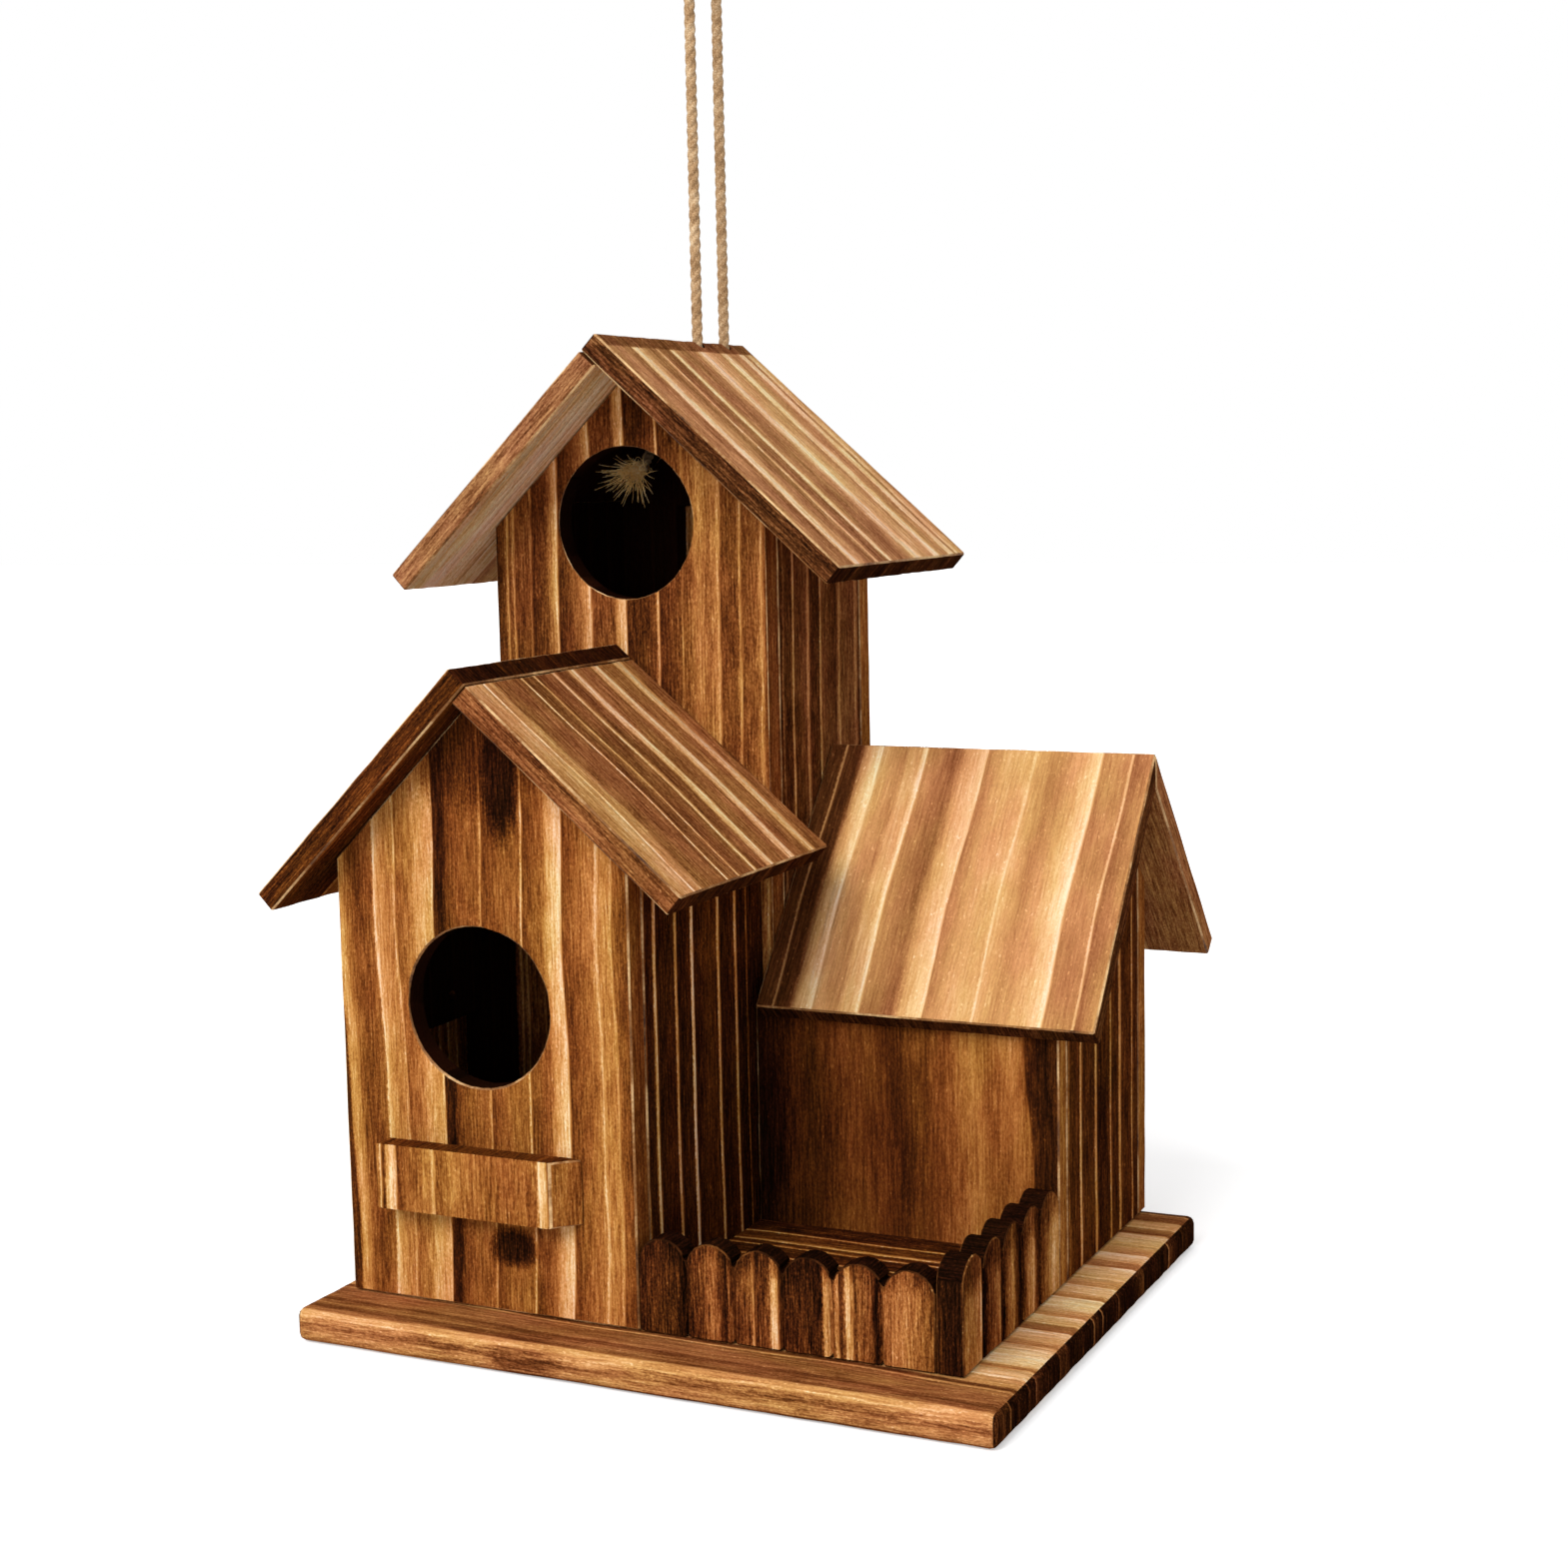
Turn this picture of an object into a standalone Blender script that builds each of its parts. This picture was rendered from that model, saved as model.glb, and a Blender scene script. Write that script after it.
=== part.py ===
"""A hanging squirrel feeder house made of carbonised softwood boards.

Three small houses stand on one base board: a front house with a round entrance and a perch block, a
tall tower behind it that hangs on a rope loop, and a low side house beside the tower. In front of the
side house is a porch with a raised floor and two scalloped picket fences. The front walls are full
width and cover the front edges of the side walls. A swivelling clean-out door closes the back of the
tower and another the left side of the front house.

Lengths are in metres, +X is right, +Y is back and +Z is up. Places are measured from the front left
corner of the base board's underside; one empty carries everything, so that the world's origin is below
the middle of the house.
"""

import math

import bmesh
import bpy
import numpy as np
from mathutils import Matrix, Vector

# Boards and joints
millimetre = 0.001
wall_thickness = 0.009
roof_thickness = 0.008
board_chamfer = 0.0006
joint_gap = 0.0003
cut_overrun = 0.003
weld_distance = 0.00001

# Base board
base_width = 0.250
base_depth = 0.211
base_thickness = 0.0115
base_rounding = 0.0028
base_rounding_steps = 3

# Front house
front_house_left = 0.0075
front_house_width = 0.111
front_house_face = 0.0235
front_house_ridge_height = 0.216
front_house_left_pitch = math.radians(44.4)
front_house_right_pitch = math.radians(40.3)
front_house_left_slope = 0.103
front_house_right_slope = 0.100
front_house_overhang = 0.0125

# Tower
tower_left = 0.0135
tower_width = 0.109
tower_depth = 0.0895
tower_ridge_height = 0.324
tower_ridge_offset = 0.0036
tower_left_pitch = math.radians(43.6)
tower_right_pitch = math.radians(41.4)
tower_left_slope = 0.1125
tower_right_slope = 0.1135
tower_overhang = 0.0255
tower_floor_below_entrance = 0.0395
tower_floor_thickness = 0.008

# Side house
side_house_right_margin = 0.0192
side_house_front_thickness = 0.008
side_house_ridge_before_back = 0.0365
side_house_ridge_height = 0.175
side_house_front_pitch = math.radians(50.5)
side_house_back_pitch = math.radians(47.0)
side_house_front_slope = 0.1005
side_house_back_slope = 0.0985
side_house_overhang = 0.0152

# Round entrances, and the doorways between the cells inside
entrance_diameter = 0.054
entrance_sides = 40
front_entrance_height = 0.114
front_entrance_offset = -0.0015
tower_entrance_below_ridge = 0.0545
tower_entrance_offset = -0.0005
inner_doorway_height = 0.075
inner_doorway_diameter = 0.054

# Perch block on the front house
perch_inset = 0.0167
perch_length = 0.0753
perch_depth = 0.008
perch_height = 0.0221
perch_underside = 0.0448

# Porch
porch_floor_thickness = 0.0117
fence_thickness = 0.009
picket_width = 0.017
front_fence_top = 0.0436
front_fence_scallop = 0.0068
side_fence_top = 0.048
side_fence_scallop = 0.0062
scallop_steps = 8

# Clean-out doors: each cover hangs on one screw above its opening and swivels on it
opening_width = 0.045
opening_height = 0.040
door_margin = 0.0065
door_thickness = 0.008
door_corner_radius = 0.005
door_corner_steps = 5
pivot_above_opening = 0.009
pivot_below_door_top = 0.009
tower_opening_above_floor = 0.004
front_house_opening_bottom = 0.055
pivot_clearance = 0.0001
door_screw_shank_radius = 0.0017
door_screw_head_radius = 0.0042
door_screw_head_height = 0.0021
door_screw_bite = 0.0070
door_screw_tip_radius = 0.0006
crown_share = 0.62
door_screw_sides = 24

# Countersunk screws that hold the walls from below
base_screw_length = 0.026
base_screw_shank_radius = 0.0015
base_screw_head_radius = 0.0032
base_screw_head_depth = 0.0021
base_screw_rim = 0.0004
base_screw_recess = 0.0008
base_screw_tip_length = 0.0040
base_screw_tip_radius = 0.0004
base_screw_sides = 16

# Hanging rope and its stopper knot
rope_diameter = 0.0042
rope_hole_clearance = 0.0005
rope_front_before_back = 0.038
rope_strand_spacing = 0.022
rope_loop_above_ridge = 0.146
rope_point_spacing = 0.0095
rope_turn_points = 12
knot_below_ridge = 0.024
knot_lobe = 0.0038
knot_rise = 0.0042
knot_points = 44
knot_open_angle = 0.42
rope_meets_knot = 0.0098
knot_point_spacing = 0.0026
dense_steps = 12
hole_sides = 20

# Worked out from the sizes above
base_top = base_thickness
wall_bottom = base_top + joint_gap
front_house_right = front_house_left + front_house_width
front_house_ridge = front_house_left + front_house_width / 2
tower_right = tower_left + tower_width
tower_middle = tower_left + tower_width / 2
tower_ridge = tower_middle + tower_ridge_offset
front_house_pitches = (front_house_left_pitch, front_house_right_pitch)
tower_pitches = (tower_left_pitch, tower_right_pitch)
side_house_pitches = (side_house_front_pitch, side_house_back_pitch)
rear_plane = base_depth
tower_face = rear_plane - tower_depth
tower_entrance_height = tower_ridge_height - tower_entrance_below_ridge
tower_floor_height = tower_entrance_height - tower_floor_below_entrance
tower_opening_bottom = tower_floor_height + tower_opening_above_floor
side_house_right = base_width - side_house_right_margin
side_house_ridge_place = rear_plane - side_house_ridge_before_back
side_house_left = tower_right + joint_gap
roof_right = side_house_right + side_house_overhang
side_house_front_back = tower_face - joint_gap
side_house_face = side_house_front_back - side_house_front_thickness
fence_inner = side_house_right - fence_thickness
porch_left = front_house_right + joint_gap
rope_radius = rope_diameter / 2
rope_loop_top = tower_ridge_height + rope_loop_above_ridge
knot_height = tower_ridge_height - knot_below_ridge
rope_front_place = rear_plane - rope_front_before_back
rope_rear_place = rope_front_place + rope_strand_spacing
rope_middle = (rope_front_place + rope_rear_place) / 2


def roof_reach(slope, pitch):
    """Level distance from a ridge to the outermost edge of its roof board."""
    return slope * math.cos(pitch) + (roof_thickness - board_chamfer) * math.sin(pitch)


house_left = min(0, front_house_ridge - roof_reach(front_house_left_slope, front_house_left_pitch),
                 tower_ridge - roof_reach(tower_left_slope, tower_left_pitch))
house_right = max(base_width, roof_right)
house_front = min(0, front_house_face - front_house_overhang, tower_face - tower_overhang)
house_rear = max(base_depth,
                 side_house_ridge_place + roof_reach(side_house_back_slope, side_house_back_pitch))

# Scene, collections and the empty that carries the house
for old_object in list(bpy.data.objects):
    bpy.data.objects.remove(old_object, do_unlink=True)

house_collection = bpy.data.collections.new("squirrel_feeder_house")
cutter_collection = bpy.data.collections.new("cutters")
bpy.context.scene.collection.children.link(house_collection)
bpy.context.scene.collection.children.link(cutter_collection)

house_origin = bpy.data.objects.new("house_origin", None)
house_origin.location = (-(house_left + house_right) / 2, -(house_front + house_rear) / 2, 0)
house_collection.objects.link(house_origin)

board_turns = {
    "X": (math.pi / 2, 0, math.pi / 2),
    "Y": (math.pi / 2, 0, 0),
    "Z": (0, 0, 0),
}
drill_turns = {
    "X": (0, math.pi / 2, 0),
    "Z": (0, 0, 0),
}


def finish(name, colour, roughness, metallic=0.0):
    """A plain material of one piece."""
    material = bpy.data.materials.new(name)
    material.use_nodes = True
    shader = material.node_tree.nodes["Principled BSDF"]
    shader.inputs["Base Color"].default_value = (*colour, 1)
    shader.inputs["Roughness"].default_value = roughness
    shader.inputs["Metallic"].default_value = metallic
    material.diffuse_color = (*colour, 1)
    return material


def ring(centre, radius, sides):
    """Points of a circle, as (across, up)."""
    return [(centre[0] + radius * math.cos(2 * math.pi * step / sides),
             centre[1] + radius * math.sin(2 * math.pi * step / sides)) for step in range(sides)]


def rectangle(low, high):
    """Corners of a level rectangle, as (across, up)."""
    return [low, (high[0], low[1]), high, (low[0], high[1])]


def rounded_rectangle(low, high, radius, steps):
    """Outline of a rectangle with round corners, as (across, up)."""
    centres = [(high[0] - radius, high[1] - radius), (low[0] + radius, high[1] - radius),
               (low[0] + radius, low[1] + radius), (high[0] - radius, low[1] + radius)]
    outline = []
    for corner, centre in enumerate(centres):
        for step in range(steps + 1):
            angle = (corner + step / steps) * math.pi / 2
            outline.append((centre[0] + radius * math.cos(angle), centre[1] + radius * math.sin(angle)))
    return outline


def mesh_from_curve(curve_object):
    """The welded mesh of a curve object, which is removed."""
    view_layer = bpy.context.view_layer
    view_layer.update()
    evaluated = curve_object.evaluated_get(bpy.context.evaluated_depsgraph_get())
    mesh = bpy.data.meshes.new_from_object(evaluated)
    mesh.name = curve_object.name
    work = bmesh.new()
    work.from_mesh(mesh)
    bmesh.ops.remove_doubles(work, verts=work.verts, dist=weld_distance)
    bmesh.ops.recalc_face_normals(work, faces=work.faces)
    work.to_mesh(mesh)
    work.free()
    bpy.data.objects.remove(curve_object, do_unlink=True)
    return mesh


def board(name, outline, low, high, axis, material, holes=(), parent=house_origin, place=(0, 0, 0)):
    """A board: an outline in the plane across the axis, with its holes, sawn from low to high."""
    curve = bpy.data.curves.new(name, "CURVE")
    curve.dimensions = "2D"
    curve.fill_mode = "BOTH"
    curve.extrude = (high - low) / 2
    for path in (outline, *holes):
        spline = curve.splines.new("POLY")
        spline.points.add(len(path) - 1)
        for point, (across, up) in zip(spline.points, path):
            point.co = (across, up, 0, 1)
        spline.use_cyclic_u = True
    pattern = bpy.data.objects.new(name + "_outline", curve)
    cutter_collection.objects.link(pattern)
    mesh = mesh_from_curve(pattern)
    piece = bpy.data.objects.new(name, mesh)
    house_collection.objects.link(piece)
    mesh.materials.append(material)
    middle = (low + high) / 2
    piece.parent = parent
    piece.rotation_euler = board_turns[axis]
    piece.location = Vector(place) + Vector([middle if letter == axis else 0 for letter in "XYZ"])
    chamfer = piece.modifiers.new("Chamfer", "BEVEL")
    chamfer.width = board_chamfer
    chamfer.segments = 1
    chamfer.limit_method = "ANGLE"
    return piece


def turned(name, profile, sides, collection, material=None):
    """A turned piece about its own Z axis, from (radius, height) points listed top to bottom."""
    mesh = bpy.data.meshes.new(name)
    mesh.from_pydata([(radius, 0, height) for radius, height in profile],
                     [(step, step + 1) for step in range(len(profile) - 1)], [])
    piece = bpy.data.objects.new(name, mesh)
    collection.objects.link(piece)
    if material:
        mesh.materials.append(material)
    lathe = piece.modifiers.new("Lathe", "SCREW")
    lathe.steps = sides
    lathe.render_steps = sides
    lathe.use_merge_vertices = True
    lathe.merge_threshold = weld_distance
    lathe.use_smooth_shade = False
    return piece


def cut(piece, cutter):
    """Take the cutter's shape out of the piece."""
    cutter.hide_render = True
    cutter.display_type = "WIRE"
    boolean = piece.modifiers.new(cutter.name, "BOOLEAN")
    boolean.operation = "DIFFERENCE"
    boolean.object = cutter


def under_roof(place, ridge, ridge_height, pitches):
    """Height of a wall's top at a place, the joint gap below the roof board's underside."""
    pitch = pitches[0] if place < ridge else pitches[1]
    return ridge_height - joint_gap / math.cos(pitch) - abs(place - ridge) * math.tan(pitch)


def gable_outline(low, high, ridge, ridge_height, pitches):
    """Outline of a wall that fills the gable between two roof slopes."""
    return [(low, wall_bottom), (high, wall_bottom), (high, under_roof(high, ridge, ridge_height, pitches)),
            (ridge, under_roof(ridge, ridge, ridge_height, pitches)),
            (low, under_roof(low, ridge, ridge_height, pitches))]


def eave_wall_outline(low, high, ridge, ridge_height, pitches):
    """Cross-section of a wall under one slope, its top planed to the roof's pitch."""
    return [(low, wall_bottom), (high, wall_bottom), (high, under_roof(high, ridge, ridge_height, pitches)),
            (low, under_roof(low, ridge, ridge_height, pitches))]


def roof_section(ridge, ridge_height, pitch, slope, side, top_under, top_over):
    """Cross-section of a roof board from its two top points and its square-cut eave."""
    down = Vector((side * math.cos(pitch), -math.sin(pitch)))
    out = Vector((side * math.sin(pitch), math.cos(pitch)))
    apex = Vector((ridge, ridge_height))
    eave = apex + slope * down
    return [tuple(apex + top_under), tuple(eave), tuple(eave + roof_thickness * out), tuple(apex + top_over)]


def outer_apex(pitch, other_pitch, side):
    """Where the upper faces of two roof boards meet, seen from where their undersides meet."""
    spread = roof_thickness / math.sin(pitch + other_pitch)
    return Vector((side * spread * (math.cos(other_pitch) - math.cos(pitch)),
                   spread * (math.sin(pitch) + math.sin(other_pitch))))


def lapping_board(ridge, ridge_height, pitch, other_pitch, slope, side):
    """The roof board that runs over the top edge of its neighbour; side is -1 or 1."""
    lap = roof_thickness / math.sin(pitch + other_pitch)
    top_under = Vector((-side * lap * math.cos(pitch), lap * math.sin(pitch)))
    return roof_section(ridge, ridge_height, pitch, slope, side, top_under,
                        outer_apex(pitch, other_pitch, side))


def lapped_board(ridge, ridge_height, pitch, other_pitch, slope, side):
    """The roof board that butts against its neighbour's underside; side is -1 or 1."""
    lap = roof_thickness / math.sin(pitch + other_pitch)
    back_off = joint_gap / math.sin(pitch + other_pitch)
    top_under = Vector((side * back_off * math.cos(pitch), -back_off * math.sin(pitch)))
    top_over = top_under + Vector((side * lap * math.cos(other_pitch), lap * math.sin(other_pitch)))
    return roof_section(ridge, ridge_height, pitch, slope, side, top_under, top_over)


def mitred_board(ridge, ridge_height, pitch, other_pitch, slope, side):
    """A roof board whose top edge is planed to meet one planed alike; side is -1 or 1."""
    back_off = joint_gap / 2 / math.cos(pitch)
    top_under = Vector((side * back_off * math.cos(pitch), -back_off * math.sin(pitch)))
    top_over = top_under + outer_apex(pitch, other_pitch, side)
    return roof_section(ridge, ridge_height, pitch, slope, side, top_under, top_over)


def fence_outline(start, end, top, scallop):
    """Outline of a fence board whose pickets have round tops that meet in sharp notches."""
    pickets = max(1, round((end - start) / picket_width))
    half = (end - start) / pickets / 2
    radius = (half * half + scallop * scallop) / (2 * scallop)
    reach = math.asin(min(1, half / radius))
    if scallop > radius:
        reach = math.pi - reach
    outline = [(start, wall_bottom), (end, wall_bottom)]
    for picket in range(pickets):
        middle = end - half * (2 * picket + 1)
        first = 0 if picket == 0 else 1
        for step in range(first, scallop_steps + 1):
            angle = reach * (1 - 2 * step / scallop_steps)
            outline.append((middle + radius * math.sin(angle), top - radius * (1 - math.cos(angle))))
    return outline


def box_cutter(name, low, high):
    """A block to cut with, from its lowest to its highest corner."""
    bpy.ops.mesh.primitive_cube_add(size=1)
    cutter = bpy.context.active_object
    cutter.name = name
    size = Vector(high) - Vector(low)
    cutter.data.transform(Matrix.Diagonal((*size, 1)))
    move_to(cutter, cutter_collection)
    cutter.location = (Vector(low) + Vector(high)) / 2
    cutter.parent = house_origin
    return cutter


def drill(name, start, end, radius, sides, axis):
    """A round cutter from start to end along one axis."""
    length = (Vector(end) - Vector(start)).length
    bpy.ops.mesh.primitive_cylinder_add(vertices=sides, radius=radius, depth=length)
    cutter = bpy.context.active_object
    cutter.name = name
    cutter.rotation_euler = drill_turns[axis]
    move_to(cutter, cutter_collection)
    cutter.location = (Vector(start) + Vector(end)) / 2
    cutter.parent = house_origin
    return cutter


def move_to(piece, collection):
    """Put an object in one collection alone."""
    for old_collection in list(piece.users_collection):
        old_collection.objects.unlink(piece)
    collection.objects.link(piece)


# Base board: one planed board with rounded edges
bpy.ops.mesh.primitive_cube_add(size=1)
base_board = bpy.context.active_object
base_board.name = "base_board"
base_board.data.transform(Matrix.Diagonal((base_width, base_depth, base_thickness, 1)))
base_board.data.materials.append(finish("base_board", (0.30, 0.14, 0.07), 0.62))
move_to(base_board, house_collection)
base_board.parent = house_origin
base_board.location = (base_width / 2, base_depth / 2, base_thickness / 2)
rounding = base_board.modifiers.new("Rounding", "BEVEL")
rounding.width = base_rounding
rounding.segments = base_rounding_steps

# Front house: a full-width front wall, two side walls, and the tower's front wall as its back
front_wall_back = front_house_face + wall_thickness
front_house_front_wall = board(
    "front_house_front_wall",
    gable_outline(front_house_left, front_house_right, front_house_ridge,
                  front_house_ridge_height, front_house_pitches),
    front_house_face, front_wall_back, "Y", finish("front_house_front_wall", (0.55, 0.32, 0.15), 0.6),
    holes=[ring((front_house_ridge + front_entrance_offset, front_entrance_height),
                entrance_diameter / 2, entrance_sides)])
front_house_left_wall = board(
    "front_house_left_wall",
    eave_wall_outline(front_house_left, front_house_left + wall_thickness, front_house_ridge,
                      front_house_ridge_height, front_house_pitches),
    front_wall_back + joint_gap, tower_face - joint_gap, "Y",
    finish("front_house_left_wall", (0.42, 0.22, 0.10), 0.62))
front_house_right_wall = board(
    "front_house_right_wall",
    eave_wall_outline(front_house_right - wall_thickness, front_house_right, front_house_ridge,
                      front_house_ridge_height, front_house_pitches),
    front_wall_back + joint_gap, tower_face - joint_gap, "Y",
    finish("front_house_right_wall", (0.22, 0.10, 0.05), 0.65))

# Front house roof: the left board laps over the right one
front_roof_front = front_house_face - front_house_overhang
front_roof_back = tower_face - joint_gap
front_house_roof_left = board(
    "front_house_roof_left",
    lapping_board(front_house_ridge, front_house_ridge_height, front_house_left_pitch,
                  front_house_right_pitch, front_house_left_slope, -1),
    front_roof_front, front_roof_back, "Y", finish("front_house_roof_left", (0.42, 0.22, 0.11), 0.6))
front_house_roof_right = board(
    "front_house_roof_right",
    lapped_board(front_house_ridge, front_house_ridge_height, front_house_right_pitch,
                 front_house_left_pitch, front_house_right_slope, 1),
    front_roof_front, front_roof_back, "Y", finish("front_house_roof_right", (0.45, 0.25, 0.13), 0.6))

# Perch block: a ledge under the entrance, mitred at its right end
perch_left = front_house_left + perch_inset
perch_back = front_house_face - joint_gap
perch_front = perch_back - perch_depth
perch_block = board(
    "perch_block",
    [(perch_left, perch_front), (perch_left + perch_length - perch_depth, perch_front),
     (perch_left + perch_length, perch_back), (perch_left, perch_back)],
    perch_underside, perch_underside + perch_height, "Z", finish("perch_block", (0.48, 0.26, 0.13), 0.6))

# Tower: four walls, a floor for its upper cell, and doorways between the lower cells
tower_wall_finish = (0.50, 0.29, 0.14)
tower_front_back = tower_face + wall_thickness
tower_back_front = rear_plane - wall_thickness
tower_pivot_height = tower_opening_bottom + opening_height + pivot_above_opening
pilot_radius = door_screw_shank_radius + joint_gap
tower_gable = gable_outline(tower_left, tower_right, tower_ridge, tower_ridge_height, tower_pitches)
tower_front_wall = board(
    "tower_front_wall", tower_gable, tower_face, tower_front_back, "Y",
    finish("tower_front_wall", tower_wall_finish, 0.6),
    holes=[ring((tower_middle + tower_entrance_offset, tower_entrance_height),
                entrance_diameter / 2, entrance_sides),
           ring((tower_middle, inner_doorway_height), inner_doorway_diameter / 2, entrance_sides)])
tower_opening_left = tower_middle - opening_width / 2
tower_back_wall = board(
    "tower_back_wall", tower_gable, tower_back_front, rear_plane, "Y",
    finish("tower_back_wall", tower_wall_finish, 0.6),
    holes=[rectangle((tower_opening_left, tower_opening_bottom),
                     (tower_opening_left + opening_width, tower_opening_bottom + opening_height)),
           ring((tower_middle, tower_pivot_height), pilot_radius, hole_sides)])
tower_left_wall = board(
    "tower_left_wall",
    eave_wall_outline(tower_left, tower_left + wall_thickness, tower_ridge, tower_ridge_height,
                      tower_pitches),
    tower_front_back + joint_gap, tower_back_front - joint_gap, "Y",
    finish("tower_left_wall", (0.42, 0.22, 0.10), 0.62))
tower_right_wall = board(
    "tower_right_wall",
    eave_wall_outline(tower_right - wall_thickness, tower_right, tower_ridge, tower_ridge_height,
                      tower_pitches),
    tower_front_back + joint_gap, tower_back_front - joint_gap, "Y",
    finish("tower_right_wall", (0.22, 0.10, 0.05), 0.65))
side_doorway_place = (tower_front_back + tower_back_front) / 2
cut(tower_right_wall,
    drill("side_doorway",
          (tower_right - wall_thickness - cut_overrun, side_doorway_place, inner_doorway_height),
          (tower_right + cut_overrun, side_doorway_place, inner_doorway_height),
          inner_doorway_diameter / 2, entrance_sides, "X"))
tower_floor = board(
    "tower_floor",
    rectangle((tower_left + wall_thickness + joint_gap, tower_floor_height - tower_floor_thickness),
              (tower_right - wall_thickness - joint_gap, tower_floor_height)),
    tower_front_back + joint_gap, tower_back_front - joint_gap, "Y",
    finish("tower_floor", (0.45, 0.25, 0.12), 0.65))

# Tower roof: the right board laps over the left one, and the rope goes down through the ridge
tower_roof_front = tower_face - tower_overhang
tower_roof_left = board(
    "tower_roof_left",
    lapped_board(tower_ridge, tower_ridge_height, tower_left_pitch, tower_right_pitch,
                 tower_left_slope, -1),
    tower_roof_front, rear_plane, "Y", finish("tower_roof_left", (0.38, 0.19, 0.09), 0.6))
tower_roof_right = board(
    "tower_roof_right",
    lapping_board(tower_ridge, tower_ridge_height, tower_right_pitch, tower_left_pitch,
                  tower_right_slope, 1),
    tower_roof_front, rear_plane, "Y", finish("tower_roof_right", (0.52, 0.30, 0.16), 0.6))
for hole_name, hole_place in (("front_rope_hole", rope_front_place), ("rear_rope_hole", rope_rear_place)):
    rope_hole = drill(hole_name, (tower_ridge, hole_place, tower_ridge_height - 2 * roof_thickness),
                      (tower_ridge, hole_place, tower_ridge_height + 3 * roof_thickness),
                      rope_radius + rope_hole_clearance, hole_sides, "Z")
    cut(tower_roof_left, rope_hole)
    cut(tower_roof_right, rope_hole)

# Side house: its smooth front wall runs from the front house to the gable wall's outer face
side_gable_left = side_house_right - wall_thickness
side_house_front_wall = board(
    "side_house_front_wall",
    eave_wall_outline(side_house_face, side_house_front_back, side_house_ridge_place,
                      side_house_ridge_height, side_house_pitches),
    porch_left, side_house_right, "X", finish("side_house_front_wall", (0.30, 0.11, 0.04), 0.55))
side_house_gable_wall = board(
    "side_house_gable_wall",
    gable_outline(side_house_front_back + joint_gap, tower_back_front - joint_gap,
                  side_house_ridge_place, side_house_ridge_height, side_house_pitches),
    side_gable_left, side_house_right, "X", finish("side_house_gable_wall", (0.22, 0.10, 0.05), 0.65))
side_house_back_wall = board(
    "side_house_back_wall",
    eave_wall_outline(tower_back_front, rear_plane, side_house_ridge_place, side_house_ridge_height,
                      side_house_pitches),
    side_house_left, side_house_right, "X", finish("side_house_back_wall", (0.42, 0.22, 0.10), 0.62))
side_house_roof_front = board(
    "side_house_roof_front",
    mitred_board(side_house_ridge_place, side_house_ridge_height, side_house_front_pitch,
                 side_house_back_pitch, side_house_front_slope, -1),
    side_house_left, roof_right, "X", finish("side_house_roof_front", (0.58, 0.35, 0.19), 0.6))
side_house_roof_back = board(
    "side_house_roof_back",
    mitred_board(side_house_ridge_place, side_house_ridge_height, side_house_back_pitch,
                 side_house_front_pitch, side_house_back_slope, 1),
    side_house_left, roof_right, "X", finish("side_house_roof_back", (0.42, 0.22, 0.11), 0.6))

# Porch: a raised floor board inside two fences with scalloped picket tops
porch_right = fence_inner - joint_gap
porch_floor = board(
    "porch_floor",
    rectangle((porch_left, front_house_face + fence_thickness + joint_gap),
              (porch_right, side_house_face - joint_gap)),
    wall_bottom, wall_bottom + porch_floor_thickness, "Z", finish("porch_floor", (0.40, 0.20, 0.09), 0.6))
front_fence = board(
    "front_fence",
    fence_outline(porch_left, porch_right, front_fence_top, front_fence_scallop),
    front_house_face, front_house_face + fence_thickness, "Y",
    finish("front_fence", (0.52, 0.30, 0.15), 0.6))
side_fence = board(
    "side_fence",
    fence_outline(front_house_face, side_house_face - joint_gap, side_fence_top,
                  side_fence_scallop),
    fence_inner, side_house_right, "X", finish("side_fence", (0.24, 0.11, 0.05), 0.65))

# Clean-out doors: rounded covers that swivel on one screw each
door_half_width = opening_width / 2 + door_margin
door_bottom = pivot_above_opening + opening_height + door_margin
door_outline = rounded_rectangle((-door_half_width, -door_bottom), (door_half_width, pivot_below_door_top),
                                 door_corner_radius, door_corner_steps)
door_hole = ring((0, 0), door_screw_shank_radius + pivot_clearance, door_screw_sides)
door_outside = joint_gap + door_thickness

tower_door_pivot = bpy.data.objects.new("tower_door_pivot", None)
tower_door_pivot.parent = house_origin
tower_door_pivot.location = (tower_middle, rear_plane, tower_pivot_height)
house_collection.objects.link(tower_door_pivot)
tower_cleanout_door = board(
    "tower_cleanout_door", door_outline, joint_gap, door_outside, "Y",
    finish("tower_cleanout_door", (0.45, 0.25, 0.12), 0.6), holes=[door_hole], parent=tower_door_pivot)

front_opening_place = (front_wall_back + tower_face) / 2
front_pivot_height = front_house_opening_bottom + opening_height + pivot_above_opening
front_house_door_pivot = bpy.data.objects.new("front_house_door_pivot", None)
front_house_door_pivot.parent = house_origin
front_house_door_pivot.location = (front_house_left, front_opening_place, front_pivot_height)
house_collection.objects.link(front_house_door_pivot)
front_house_cleanout_door = board(
    "front_house_cleanout_door", door_outline, -door_outside, -joint_gap, "X",
    finish("front_house_cleanout_door", (0.45, 0.25, 0.12), 0.6), holes=[door_hole],
    parent=front_house_door_pivot)
inner_face = front_house_left + wall_thickness + cut_overrun
outer_face = front_house_left - cut_overrun
cut(front_house_left_wall,
    box_cutter("front_house_opening",
               (outer_face, front_opening_place - opening_width / 2, front_house_opening_bottom),
               (inner_face, front_opening_place + opening_width / 2,
                front_house_opening_bottom + opening_height)))
cut(front_house_left_wall,
    drill("front_house_pilot_hole", (outer_face, front_opening_place, front_pivot_height),
          (inner_face, front_opening_place, front_pivot_height), pilot_radius, hole_sides, "X"))

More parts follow.
